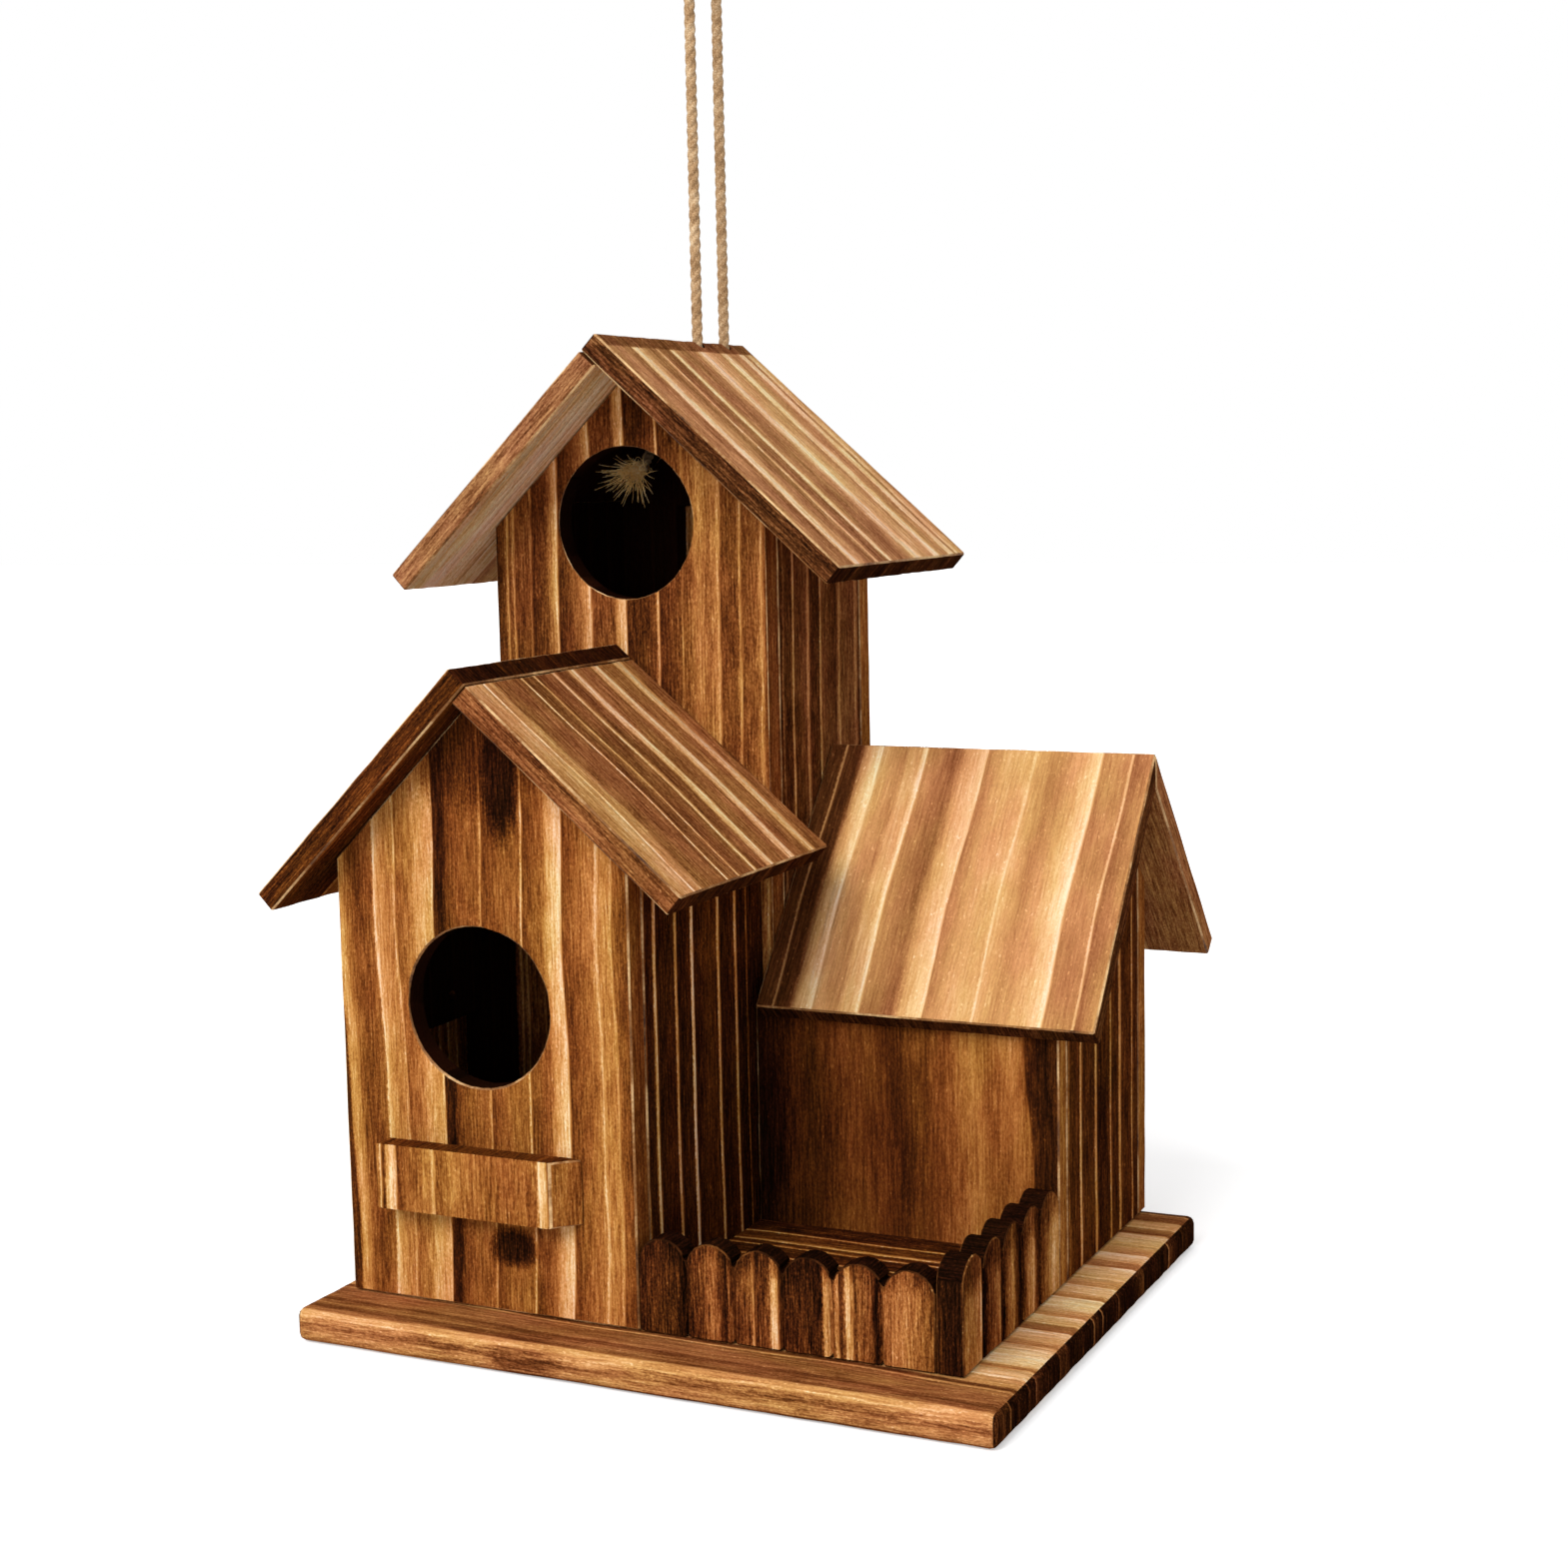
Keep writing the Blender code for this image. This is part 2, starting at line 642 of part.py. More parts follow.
# Door screws: pan heads just proud of the covers, shanks in the walls' pilot holes
door_screw_reach = joint_gap + door_outside + door_screw_bite
door_screw_profile = [
    (0, door_screw_reach),
    (door_screw_tip_radius, door_screw_reach),
    (door_screw_shank_radius, door_screw_reach - 2 * door_screw_shank_radius),
    (door_screw_shank_radius, 0),
    (door_screw_head_radius, 0),
    (door_screw_head_radius, -door_screw_head_height / 3),
    (door_screw_head_radius * crown_share, -door_screw_head_height),
    (0, -door_screw_head_height),
]
steel = (0.45, 0.42, 0.38)
tower_door_screw = turned("tower_door_screw", door_screw_profile, door_screw_sides, house_collection,
                          finish("tower_door_screw", steel, 0.35, 1.0))
tower_door_screw.parent = house_origin
tower_door_screw.location = (tower_middle, rear_plane + door_outside + joint_gap, tower_pivot_height)
tower_door_screw.rotation_euler = (math.pi / 2, 0, 0)
front_house_door_screw = turned("front_house_door_screw", door_screw_profile, door_screw_sides,
                                house_collection, finish("front_house_door_screw", steel, 0.35, 1.0))
front_house_door_screw.parent = house_origin
front_house_door_screw.location = (front_house_left - door_outside - joint_gap, front_opening_place,
                                   front_pivot_height)
front_house_door_screw.rotation_euler = (0, math.pi / 2, 0)

# Base screws: countersunk from below into the bottom ends of the walls
base_screw_profile = [
    (0, base_screw_length),
    (base_screw_tip_radius, base_screw_length),
    (base_screw_shank_radius, base_screw_length - base_screw_tip_length),
    (base_screw_shank_radius, base_screw_rim + base_screw_head_depth),
    (base_screw_head_radius, base_screw_rim),
    (base_screw_head_radius, 0),
    (0, 0),
]
base_screw_hole_profile = [
    (0, base_screw_length + joint_gap),
    (base_screw_shank_radius + joint_gap, base_screw_length + joint_gap),
    (base_screw_shank_radius + joint_gap, base_screw_rim + base_screw_head_depth + joint_gap),
    (base_screw_head_radius + joint_gap, base_screw_rim + joint_gap),
    (base_screw_head_radius + joint_gap, -base_screw_recess - cut_overrun),
    (0, -base_screw_recess - cut_overrun),
]
side_house_middle = (side_house_left + side_gable_left) / 2
base_screw_places = [
    (front_house_front_wall, front_house_ridge, front_house_face + wall_thickness / 2),
    (front_house_left_wall, front_house_left + wall_thickness / 2, front_opening_place),
    (front_house_right_wall, front_house_right - wall_thickness / 2, front_opening_place),
    (tower_left_wall, tower_left + wall_thickness / 2, side_doorway_place),
    (tower_right_wall, tower_right - wall_thickness / 2, side_doorway_place),
    (side_house_front_wall, side_house_middle, side_house_face + side_house_front_thickness / 2),
    (side_house_gable_wall, side_house_right - wall_thickness / 2, side_doorway_place),
    (side_house_back_wall, side_house_middle, rear_plane - wall_thickness / 2),
]
for number, (wall, across, back) in enumerate(base_screw_places, start=1):
    screw_name = f"base_screw_{number}"
    base_screw = turned(screw_name, base_screw_profile, base_screw_sides, house_collection,
                        finish(screw_name, steel, 0.4, 1.0))
    screw_hole = turned(screw_name + "_hole", base_screw_hole_profile, base_screw_sides, cutter_collection)
    for turned_piece in (base_screw, screw_hole):
        turned_piece.parent = house_origin
        turned_piece.location = (across, back, base_screw_recess)
    cut(base_board, screw_hole)
    cut(wall, screw_hole)

# Hanging rope: one rope goes up through the ridge, round in a loop and down again, and the two ends
# are tied in a stopper knot under the roof, with the tails hanging towards the entrance
front_tail_route = [(-0.0120, -0.0340, -0.0120), (-0.0150, -0.0260, -0.0090), (-0.0170, -0.0170, -0.0050),
                    (-0.0160, -0.0090, -0.0010), (-0.0120, -0.0045, 0.0020)]
rear_tail_route = [(-0.0120, 0.0045, -0.0035), (-0.0160, 0.0080, -0.0070), (-0.0170, 0.0120, -0.0130)]


def knot_route():
    """Points of an overhand knot about its own middle: a trefoil opened at its left lobe."""
    route = []
    for angle in np.linspace(knot_open_angle - math.pi, math.pi - knot_open_angle, knot_points):
        across = math.sin(angle) + 2 * math.sin(2 * angle)
        along = math.cos(angle) - 2 * math.cos(2 * angle)
        route.append((knot_lobe * along, -knot_lobe * across, -knot_rise * math.sin(3 * angle)))
    return route


def smooth_route(points, spacing):
    """Evenly spaced points of a smooth curve through the route's own points."""
    route = np.array(points)
    padded = np.vstack([2 * route[0] - route[1], route, 2 * route[-1] - route[-2]])
    dense = []
    for start in range(len(route) - 1):
        before, first, last, after = padded[start:start + 4]
        for share in np.linspace(0, 1, dense_steps, endpoint=False):
            dense.append(0.5 * (2 * first + (last - before) * share
                                + (2 * before - 5 * first + 4 * last - after) * share ** 2
                                + (3 * first - before - 3 * last + after) * share ** 3))
    dense.append(route[-1])
    dense = np.array(dense)
    travelled = np.concatenate([[0], np.cumsum(np.linalg.norm(np.diff(dense, axis=0), axis=1))])
    wanted = np.linspace(0, travelled[-1], max(2, round(travelled[-1] / spacing) + 1))
    return np.column_stack([np.interp(wanted, travelled, dense[:, axis]) for axis in range(3)])


def rope(name, route, material):
    """A length of rope along a route."""
    curve = bpy.data.curves.new(name, "CURVE")
    curve.dimensions = "3D"
    curve.fill_mode = "FULL"
    curve.bevel_depth = rope_radius
    curve.bevel_resolution = 2
    curve.use_fill_caps = True
    spline = curve.splines.new("POLY")
    spline.points.add(len(route) - 1)
    for point, place in zip(spline.points, route):
        point.co = (*place, 1)
    piece = bpy.data.objects.new(name, curve)
    curve.materials.append(material)
    piece.parent = house_origin
    house_collection.objects.link(piece)
    return piece


knot_centre = np.array((tower_ridge, rope_middle, knot_height))
whole_knot_route = front_tail_route + knot_route() + rear_tail_route
knot_path = smooth_route(whole_knot_route, knot_point_spacing) + knot_centre
rope_knot = rope("rope_knot", knot_path, finish("rope_knot", (0.50, 0.33, 0.17), 0.85))

apart = np.linalg.norm(knot_path[:, None] - knot_path[None], axis=2)
steps_apart = np.abs(np.subtract.outer(np.arange(len(knot_path)), np.arange(len(knot_path))))
far_enough = steps_apart * knot_point_spacing > math.pi * rope_diameter
least_gap = float(apart[far_enough].min() - rope_diameter)
print(f"least gap of the knot to itself: {least_gap / millimetre:.2f} mm")


def height_over_knot(along):
    """Height at which a level rope end clears the knot by the joint gap."""
    level = np.hypot(knot_path[:, 0] - tower_ridge, knot_path[:, 1] - along)
    over = np.clip(level - rope_radius, 0, None)
    near = over < rope_radius
    tops = knot_path[near, 2] + np.sqrt(rope_radius ** 2 - over[near] ** 2)
    return float(tops.max()) + joint_gap


def strand_route(side, turn_height):
    """One strand of the loop from the knot up to the turn; side is -1 in front and 1 behind."""
    half_spacing = rope_strand_spacing / 2
    knot_end = height_over_knot(rope_middle + side * rope_meets_knot)
    straight_from = tower_ridge_height - joint_gap
    steps = round((turn_height - knot_end) / rope_point_spacing)
    route = []
    for step in range(steps + 1):
        height = knot_end + (turn_height - knot_end) * step / steps
        lean = min(1, (height - knot_end) / (straight_from - knot_end))
        ease = lean * lean * (3 - 2 * lean)
        reach = rope_meets_knot + (half_spacing - rope_meets_knot) * ease
        route.append((tower_ridge, rope_middle + side * reach, height))
    return route


turn_radius = rope_strand_spacing / 2
turn_height = rope_loop_top - turn_radius
turn_route = []
for step in range(1, rope_turn_points):
    angle = math.pi * step / rope_turn_points
    turn_route.append((tower_ridge, rope_middle - turn_radius * math.cos(angle),
                       turn_height + turn_radius * math.sin(angle)))
loop_path = strand_route(-1, turn_height) + turn_route + strand_route(1, turn_height)[::-1]
rope_loop = rope("rope_loop", loop_path, finish("rope_loop", (0.50, 0.33, 0.17), 0.85))
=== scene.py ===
"""The looks of a hanging squirrel feeder house, built of torched and wire-brushed softwood boards.

Every board starts from its own CAD solid and gets the grooves, steps and worn edges that the wire brush
leaves, along the same grain lines that its colour follows. The rope is twisted from three strands.
Lengths are in metres unless a name or a comment says millimetres.
"""

import math
import random

import bmesh
import bpy
import numpy as np
from mathutils import Matrix, Vector, noise


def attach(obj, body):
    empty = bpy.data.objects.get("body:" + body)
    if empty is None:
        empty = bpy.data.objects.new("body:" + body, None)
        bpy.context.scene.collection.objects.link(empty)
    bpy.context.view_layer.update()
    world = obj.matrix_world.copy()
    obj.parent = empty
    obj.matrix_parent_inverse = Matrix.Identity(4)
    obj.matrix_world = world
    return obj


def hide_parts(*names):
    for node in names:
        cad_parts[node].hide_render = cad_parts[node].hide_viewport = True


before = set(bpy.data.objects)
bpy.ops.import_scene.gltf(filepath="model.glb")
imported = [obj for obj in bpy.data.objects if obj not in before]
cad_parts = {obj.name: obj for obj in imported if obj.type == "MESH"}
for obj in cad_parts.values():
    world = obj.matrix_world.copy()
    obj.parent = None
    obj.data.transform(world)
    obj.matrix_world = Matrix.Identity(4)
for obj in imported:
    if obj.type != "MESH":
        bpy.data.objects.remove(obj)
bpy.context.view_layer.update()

# Camera: it stands in front of the right corner, a little above the middle of the house, and looks
# slightly down. The lens and the place were worked out from the house's own corners.
camera_place = Vector((0.37760, -0.77697, 0.28760))
camera_yaw = math.radians(25.34)
camera_pitch = math.radians(7.26)
camera_roll = math.radians(-1.15)
camera_focal_length = 56.87
camera_sensor_width = 36.0


def shown(name, data):
    """A new object with the given data, in the scene."""
    item = bpy.data.objects.new(name, data)
    bpy.context.scene.collection.objects.link(item)
    return item


looking = Vector((-math.sin(camera_yaw) * math.cos(camera_pitch),
                  math.cos(camera_yaw) * math.cos(camera_pitch), -math.sin(camera_pitch)))
level_right = Vector((math.cos(camera_yaw), math.sin(camera_yaw), 0))
level_up = level_right.cross(looking)
camera_right = math.cos(camera_roll) * level_right + math.sin(camera_roll) * level_up
camera_up = math.cos(camera_roll) * level_up - math.sin(camera_roll) * level_right
camera_lens = bpy.data.cameras.new("camera")
camera_lens.lens = camera_focal_length
camera_lens.sensor_width = camera_sensor_width
camera = shown("camera", camera_lens)
camera.matrix_world = (Matrix.Translation(camera_place)
                       @ Matrix((camera_right, camera_up, -looking)).transposed().to_4x4())
bpy.context.scene.camera = camera
bpy.context.scene.view_settings.view_transform = "Standard"

# Hanging rope: three twisted strands of jute. It comes up through the tower's ridge, turns round in a
# loop, goes down again, and both ends are tied in one stopper knot under the roof.
house_origin = np.array((-0.117116, -0.123544, 0))
rope_diameter = 0.0042
rope_radius = rope_diameter / 2
rope_ridge = 0.0716
rope_front_place = 0.173
rope_strand_spacing = 0.022
rope_middle = rope_front_place + rope_strand_spacing / 2
rope_loop_top = 0.470
rope_point_spacing = 0.0095
rope_turn_points = 12
rope_leaves_roof = 0.3237
knot_height = 0.300
knot_lobe = 0.0038
knot_rise = 0.0042
knot_points = 44
knot_open_angle = 0.42
rope_meets_knot = 0.0098
knot_point_spacing = 0.0026
knot_gap = 0.0003
curve_steps = 12
front_tail_route = [(-0.0120, -0.0340, -0.0120), (-0.0150, -0.0260, -0.0090), (-0.0170, -0.0170, -0.0050),
                    (-0.0160, -0.0090, -0.0010), (-0.0120, -0.0045, 0.0020)]
rear_tail_route = [(-0.0120, 0.0045, -0.0035), (-0.0160, 0.0080, -0.0070), (-0.0170, 0.0120, -0.0130)]


def knot_route():
    """Points of an overhand knot about its own middle: a trefoil opened at its left lobe."""
    angle = np.linspace(knot_open_angle - math.pi, math.pi - knot_open_angle, knot_points)
    along = np.cos(angle) - 2 * np.cos(2 * angle)
    across = np.sin(angle) + 2 * np.sin(2 * angle)
    return np.column_stack([knot_lobe * along, -knot_lobe * across, -knot_rise * np.sin(3 * angle)])


def smooth_route(route, spacing):
    """Evenly spaced points of a smooth curve through the route's own points."""
    padded = np.vstack([2 * route[0] - route[1], route, 2 * route[-1] - route[-2]])
    dense = []
    for start in range(len(route) - 1):
        before, first, last, after = padded[start:start + 4]
        for share in np.linspace(0, 1, curve_steps, endpoint=False):
            dense.append(0.5 * (2 * first + (last - before) * share
                                + (2 * before - 5 * first + 4 * last - after) * share ** 2
                                + (3 * first - before - 3 * last + after) * share ** 3))
    dense = np.array(dense + [route[-1]])
    travelled = np.concatenate([[0], np.cumsum(np.linalg.norm(np.diff(dense, axis=0), axis=1))])
    wanted = np.linspace(0, travelled[-1], max(2, round(travelled[-1] / spacing) + 1))
    return np.column_stack([np.interp(wanted, travelled, dense[:, axis]) for axis in range(3)])


knot_centre = np.array((rope_ridge, rope_middle, knot_height))
knot_ends = [front_tail_route, knot_route(), rear_tail_route]
knot_path = smooth_route(np.vstack(knot_ends), knot_point_spacing) + knot_centre


def height_over_knot(along):
    """Height at which a level rope end clears the knot."""
    level = np.hypot(knot_path[:, 0] - rope_ridge, knot_path[:, 1] - along)
    over = np.clip(level - rope_radius, 0, None)
    near = over < rope_radius
    return float((knot_path[near, 2] + np.sqrt(rope_radius ** 2 - over[near] ** 2)).max()) + knot_gap


def strand_route(side, turn_height):
    """One strand of the loop from the knot up to the turn; side is -1 in front and 1 behind."""
    knot_end = height_over_knot(rope_middle + side * rope_meets_knot)
    height = np.linspace(knot_end, turn_height, round((turn_height - knot_end) / rope_point_spacing) + 1)
    lean = np.minimum(1, (height - knot_end) / (rope_leaves_roof - knot_end))
    reach = rope_meets_knot + (rope_strand_spacing / 2 - rope_meets_knot) * lean * lean * (3 - 2 * lean)
    return np.column_stack([np.full_like(height, rope_ridge), rope_middle + side * reach, height])


turn_radius = rope_strand_spacing / 2
turn_height = rope_loop_top - turn_radius
turn_angles = [math.pi * step / rope_turn_points for step in range(1, rope_turn_points)]
turn_route = [(rope_ridge, rope_middle - turn_radius * math.cos(angle),
               turn_height + turn_radius * math.sin(angle)) for angle in turn_angles]
loop_path = np.vstack([strand_route(-1, turn_height), turn_route, strand_route(1, turn_height)[::-1]])
rope_step = 0.00045
rope_sides = 36
strand_count = 3
rope_turns_per_metre = 78
rope_lobe_depth = 0.24
yarn_count = 11
yarn_depth = 0.022
yarn_turns_per_metre = 130
fuzz_depth = 0.03
fuzz_scale = 2600
knot_taper = 0.35


def spokes(side, over, count):
    """Evenly spaced directions round a tube, each with its angle."""
    angles = [2 * math.pi * corner / count for corner in range(count)]
    return [(angle, side * math.cos(angle) + over * math.sin(angle)) for angle in angles]


def ring_faces(rings, sides, first=0):
    """The faces between rings of corners; first is the number of the first ring's first corner."""
    return [(ring + corner, ring + (corner + 1) % sides, ring + sides + (corner + 1) % sides,
             ring + sides + corner)
            for ring in range(first, first + (rings - 1) * sides, sides) for corner in range(sides)]


def new_piece(name, corners, faces):
    """A smooth piece made of corners and faces."""
    mesh = bpy.data.meshes.new(name)
    mesh.from_pydata(corners, [], faces)
    mesh.shade_smooth()
    return shown(name, mesh)


def twisted_rope(name, route, taper=0.0):
    """A tube of three twisted strands along a route; taper narrows its last millimetres."""
    path = smooth_route(route, rope_step)
    forward = np.gradient(path, axis=0)
    forward /= np.linalg.norm(forward, axis=1)[:, None]
    side = np.cross(forward[0], (1, 0, 0))
    corners = []
    for place, ahead in enumerate(forward):
        side = side - ahead * side.dot(ahead)
        side = side / np.linalg.norm(side)
        turn = 2 * math.pi * rope_turns_per_metre * place * rope_step
        counter = 2 * math.pi * yarn_turns_per_metre * place * rope_step
        end_share = min(1, min(place, len(path) - 1 - place) * rope_step / rope_radius)
        narrow = 1 - taper * (1 - end_share) ** 2
        for angle, outward in spokes(side, np.cross(ahead, side), rope_sides):
            lobe = abs(math.cos(strand_count / 2 * (angle - turn)))
            yarn = math.cos(yarn_count * angle + counter)
            fuzz = noise.noise(Vector(path[place] + outward * rope_radius) * fuzz_scale)
            reach = (1 - rope_lobe_depth * (1 - lobe) - yarn_depth * (1 - yarn)
                     - fuzz_depth * (0.5 - fuzz / 2))
            corners.append(tuple(path[place] + outward * rope_radius * reach * narrow))
    faces = ring_faces(len(path), rope_sides)
    start, end = len(corners), len(corners) + 1
    last_ring = start - rope_sides
    for corner in range(rope_sides):
        following = (corner + 1) % rope_sides
        faces += [(following, corner, start), (last_ring + corner, last_ring + following, end)]
    return new_piece(name, corners + [tuple(path[0]), tuple(path[-1])], faces), path


class Wire:
    """The output of a shader node. The signs + - * / between wires and numbers make Math nodes."""

    def __init__(self, tree, socket):
        self.tree = tree
        self.socket = socket

    def __add__(self, other):
        return sums("ADD", self, other)

    def __sub__(self, other):
        return sums("SUBTRACT", self, other)

    def __rsub__(self, other):
        return sums("SUBTRACT", other, self)

    def __mul__(self, other):
        return sums("MULTIPLY", self, other)

    def __truediv__(self, other):
        return sums("DIVIDE", self, other)


def feed(socket, value):
    """Link a wire to a socket, or set the socket to a plain value."""
    if isinstance(value, Wire):
        value.tree.links.new(value.socket, socket)
    else:
        socket.default_value = value


def sums(operation, first, second=0.0):
    """The result of one Math node, of which at least one input is a wire."""
    tree = (first if isinstance(first, Wire) else second).tree
    node = tree.nodes.new("ShaderNodeMath")
    node.operation = operation
    feed(node.inputs[0], first)
    feed(node.inputs[1], second)
    return Wire(tree, node.outputs[0])


def centred(value, strength):
    """A value about one half turned into one about zero, times the strength."""
    return (value - 0.5) * strength


def held(value):
    """A value kept between zero and one."""
    return sums("MINIMUM", sums("MAXIMUM", value, 0.0), 1.0)


def vectors(operation, first, second, result="Vector"):
    """The result of one Vector Math node."""
    node = first.tree.nodes.new("ShaderNodeVectorMath")
    node.operation = operation
    feed(node.inputs[0], first)
    feed(node.inputs["Scale" if operation == "SCALE" else 1], second)
    return Wire(first.tree, node.outputs[result])


def noise_at(place, scale, detail=2.0, roughness=0.5):
    """The value of one Noise Texture node."""
    node = place.tree.nodes.new("ShaderNodeTexNoise")
    for name, value in (("Vector", place), ("Scale", scale), ("Detail", detail), ("Roughness", roughness)):
        feed(node.inputs[name], value)
    return Wire(place.tree, node.outputs["Fac"])


def colour(code):
    """A linear colour from its screen hex code."""
    shares = [int(code[start:start + 2], 16) / 255 for start in (1, 3, 5)]
    return tuple(((share + 0.055) / 1.055) ** 2.4 if share > 0.04045 else share / 12.92
                 for share in shares) + (1.0,)


def mixed(tree, factor, first, second, blend="MIX"):
    """The result of one Mix node for colours."""
    node = tree.nodes.new("ShaderNodeMix")
    node.data_type = "RGBA"
    node.blend_type = blend
    for name, value in (("Factor", factor), ("A", first), ("B", second)):
        feed(node.inputs[name], value)
    return Wire(tree, node.outputs["Result"])


longest_ramp = 32


def ramp(value, stops):
    """The colour of a Color Ramp node through (place, colour) stops, or of two where one is too short."""
    if len(stops) > longest_ramp:
        beyond = sums("GREATER_THAN", value, stops[longest_ramp - 1][0])
        return mixed(value.tree, beyond, ramp(value, stops[:longest_ramp]),
                     ramp(value, stops[longest_ramp - 1:]))
    node = value.tree.nodes.new("ShaderNodeValToRGB")
    elements = node.color_ramp.elements
    while len(elements) > 1:
        elements.remove(elements[-1])
    elements[0].position, elements[0].color = stops[0]
    for place, shade in stops[1:]:
        elements.new(place).color = shade
    feed(node.inputs["Fac"], value)
    return Wire(value.tree, node.outputs["Color"])


def new_material(name, roughness=0.5, specular=0.5):
    """A material with one Principled BSDF; gives the material and the shader."""
    material = bpy.data.materials.new(name)
    material.use_nodes = True
    shader = material.node_tree.nodes["Principled BSDF"]
    shader.inputs["Roughness"].default_value = roughness
    shader.inputs["Specular IOR Level"].default_value = specular
    return material, shader


def object_place(material):
    """The place on the piece, which keeps still when the piece moves."""
    tree = material.node_tree
    return Wire(tree, tree.nodes.new("ShaderNodeTexCoord").outputs["Object"])


def bump(shader, height, distance):
    """A Bump node into the shader's normal."""
    node = height.tree.nodes.new("ShaderNodeBump")
    node.inputs["Distance"].default_value = distance
    feed(node.inputs["Height"], height)
    height.tree.links.new(node.outputs["Normal"], shader.inputs["Normal"])


jute_fibre_scale, jute_patch_scale, jute_fibre_share = 1500, 160, 0.65
jute_bump = 0.0003
shade_places = (0.34, 0.5, 0.64)


def jute(name, codes):
    """Dry plant fibre, with paler and darker yarns."""
    material, shader = new_material(name, roughness=0.9, specular=0.2)
    place = object_place(material)
    fibres = noise_at(place, jute_fibre_scale, detail=4, roughness=0.7)
    patches = noise_at(place, jute_patch_scale)
    yarns = fibres * jute_fibre_share + patches * (1 - jute_fibre_share)
    feed(shader.inputs["Base Color"], ramp(yarns, list(zip(shade_places, map(colour, codes)))))
    bump(shader, fibres, jute_bump)
    return material


jute_material = jute("jute", ("#8a6642", "#c09a70", "#e6c9a2"))
hanging_rope, hanging_path = twisted_rope("hanging_rope", loop_path + house_origin)
hanging_rope.data.materials.append(jute_material)
stopper_knot, knot_middle_line = twisted_rope("stopper_knot", knot_path + house_origin, taper=knot_taper)
stopper_knot.data.materials.append(jute_material)

# Frayed end: the front tail's yarns are untwisted and spread into a straw-coloured tuft, which shows
# through the tower's entrance.
tuft_fibres = 170
tuft_length, tuft_length_spread = 0.0072, 0.0048
tuft_sway = Vector((-0.0050, -0.0020, 0.0002))
tuft_fibre_radius, tuft_tip_share = 0.00022, 0.25
tuft_open, tuft_open_spread = 1.3, 0.22
tuft_curl, tuft_curl_turns = 0.0012, 0.75
tuft_steps, tuft_sides = 7, 4
tuft_root_back, tuft_root_share = 0.004, 0.8
tuft_droop = 0.0012
tuft_looks_back = 12
tuft_seed = 5
tuft_chance = random.Random(tuft_seed)
tuft_root = Vector(knot_middle_line[0])
tuft_ahead = (tuft_root - Vector(knot_middle_line[tuft_looks_back])).normalized()
tuft_side = tuft_ahead.cross(Vector((0, 0, 1))).normalized()
tuft_over = tuft_side.cross(tuft_ahead)
tuft_corners, tuft_faces = [], []
for fibre in range(tuft_fibres):
    start_angle = tuft_chance.uniform(0, 2 * math.pi)
    start_reach = rope_radius * tuft_root_share * math.sqrt(tuft_chance.random())
    outward = tuft_side * math.cos(start_angle) + tuft_over * math.sin(start_angle)
    opening = tuft_open * (start_reach / rope_radius) + tuft_chance.gauss(0, tuft_open_spread)
    length = tuft_length + tuft_length_spread * tuft_chance.uniform(-1, 1)
    curl = Vector([tuft_chance.gauss(0, tuft_curl) for _ in range(3)])
    first = len(tuft_corners)
    for step in range(tuft_steps + 1):
        share = step / tuft_steps
        middle = (tuft_root - tuft_ahead * tuft_root_back * (1 - share) + outward * start_reach
                  + tuft_ahead * length * share * math.cos(opening * share)
                  + outward * length * share * math.sin(opening * share)
                  + curl * math.sin(2 * math.pi * tuft_curl_turns * share) + tuft_sway * share
                  + Vector((0, 0, -tuft_droop * share * share)))
        radius = tuft_fibre_radius * (1 - (1 - tuft_tip_share) * share)
        tuft_corners += [middle + around * radius for _, around in spokes(tuft_side, tuft_over, tuft_sides)]
    last = len(tuft_corners) - tuft_sides
    tuft_faces += ring_faces(tuft_steps + 1, tuft_sides, first)
    tuft_faces += [tuple(range(first, first + tuft_sides))[::-1], tuple(range(last, last + tuft_sides))]
frayed_tuft = new_piece("frayed_tuft", tuft_corners, tuft_faces)
frayed_tuft.data.materials.append(jute("straw", ("#b57a35", "#ffcf80", "#ffedbe")))

for piece in (hanging_rope, stopper_knot, frayed_tuft):
    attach(piece, "house")
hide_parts("rope_loop")
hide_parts("rope_knot")
([tuple(point) for point in hanging_path[::8]]
        + [tuple(hanging_path[-1])])

# Studio: a white floor and background, a soft key light from the upper left in front, and a plain
# white sky that fills the shadows.
floor_reach, floor_drop = 6.0, 0.0004
floor_bounce, floor_glow = (0.6, 0.6, 0.6, 1), 0.4
white = (1, 1, 1, 1)
sky_strength = 0.58
lamp_size = math.radians(32)
lamps = {"key": (2.15, Vector((0.13, 0.74, -0.66))), "fill": (0.4, Vector((-0.24, 0.97, -0.06)))}


def seen_by(tree, *kinds):
    """One for light rays of two kinds and zero for all others."""
    rays = tree.nodes.new("ShaderNodeLightPath").outputs
    return sums("MAXIMUM", *(Wire(tree, rays[kind]) for kind in kinds))


floor = new_piece("floor", [(across * floor_reach, along * floor_reach, -floor_drop)
                            for across, along in ((-1, -1), (1, -1), (1, 1), (-1, 1))], [(0, 1, 2, 3)])
floor_material, floor_shader = new_material("floor_white", roughness=0.9, specular=0.0)
floor_seen = seen_by(floor_material.node_tree, "Is Camera Ray", "Is Glossy Ray")
feed(floor_shader.inputs["Base Color"], ramp(floor_seen, [(0.0, floor_bounce), (1.0, white)]))
feed(floor_shader.inputs["Emission Color"], white)
feed(floor_shader.inputs["Emission Strength"], floor_seen * floor_glow)
floor.data.materials.append(floor_material)

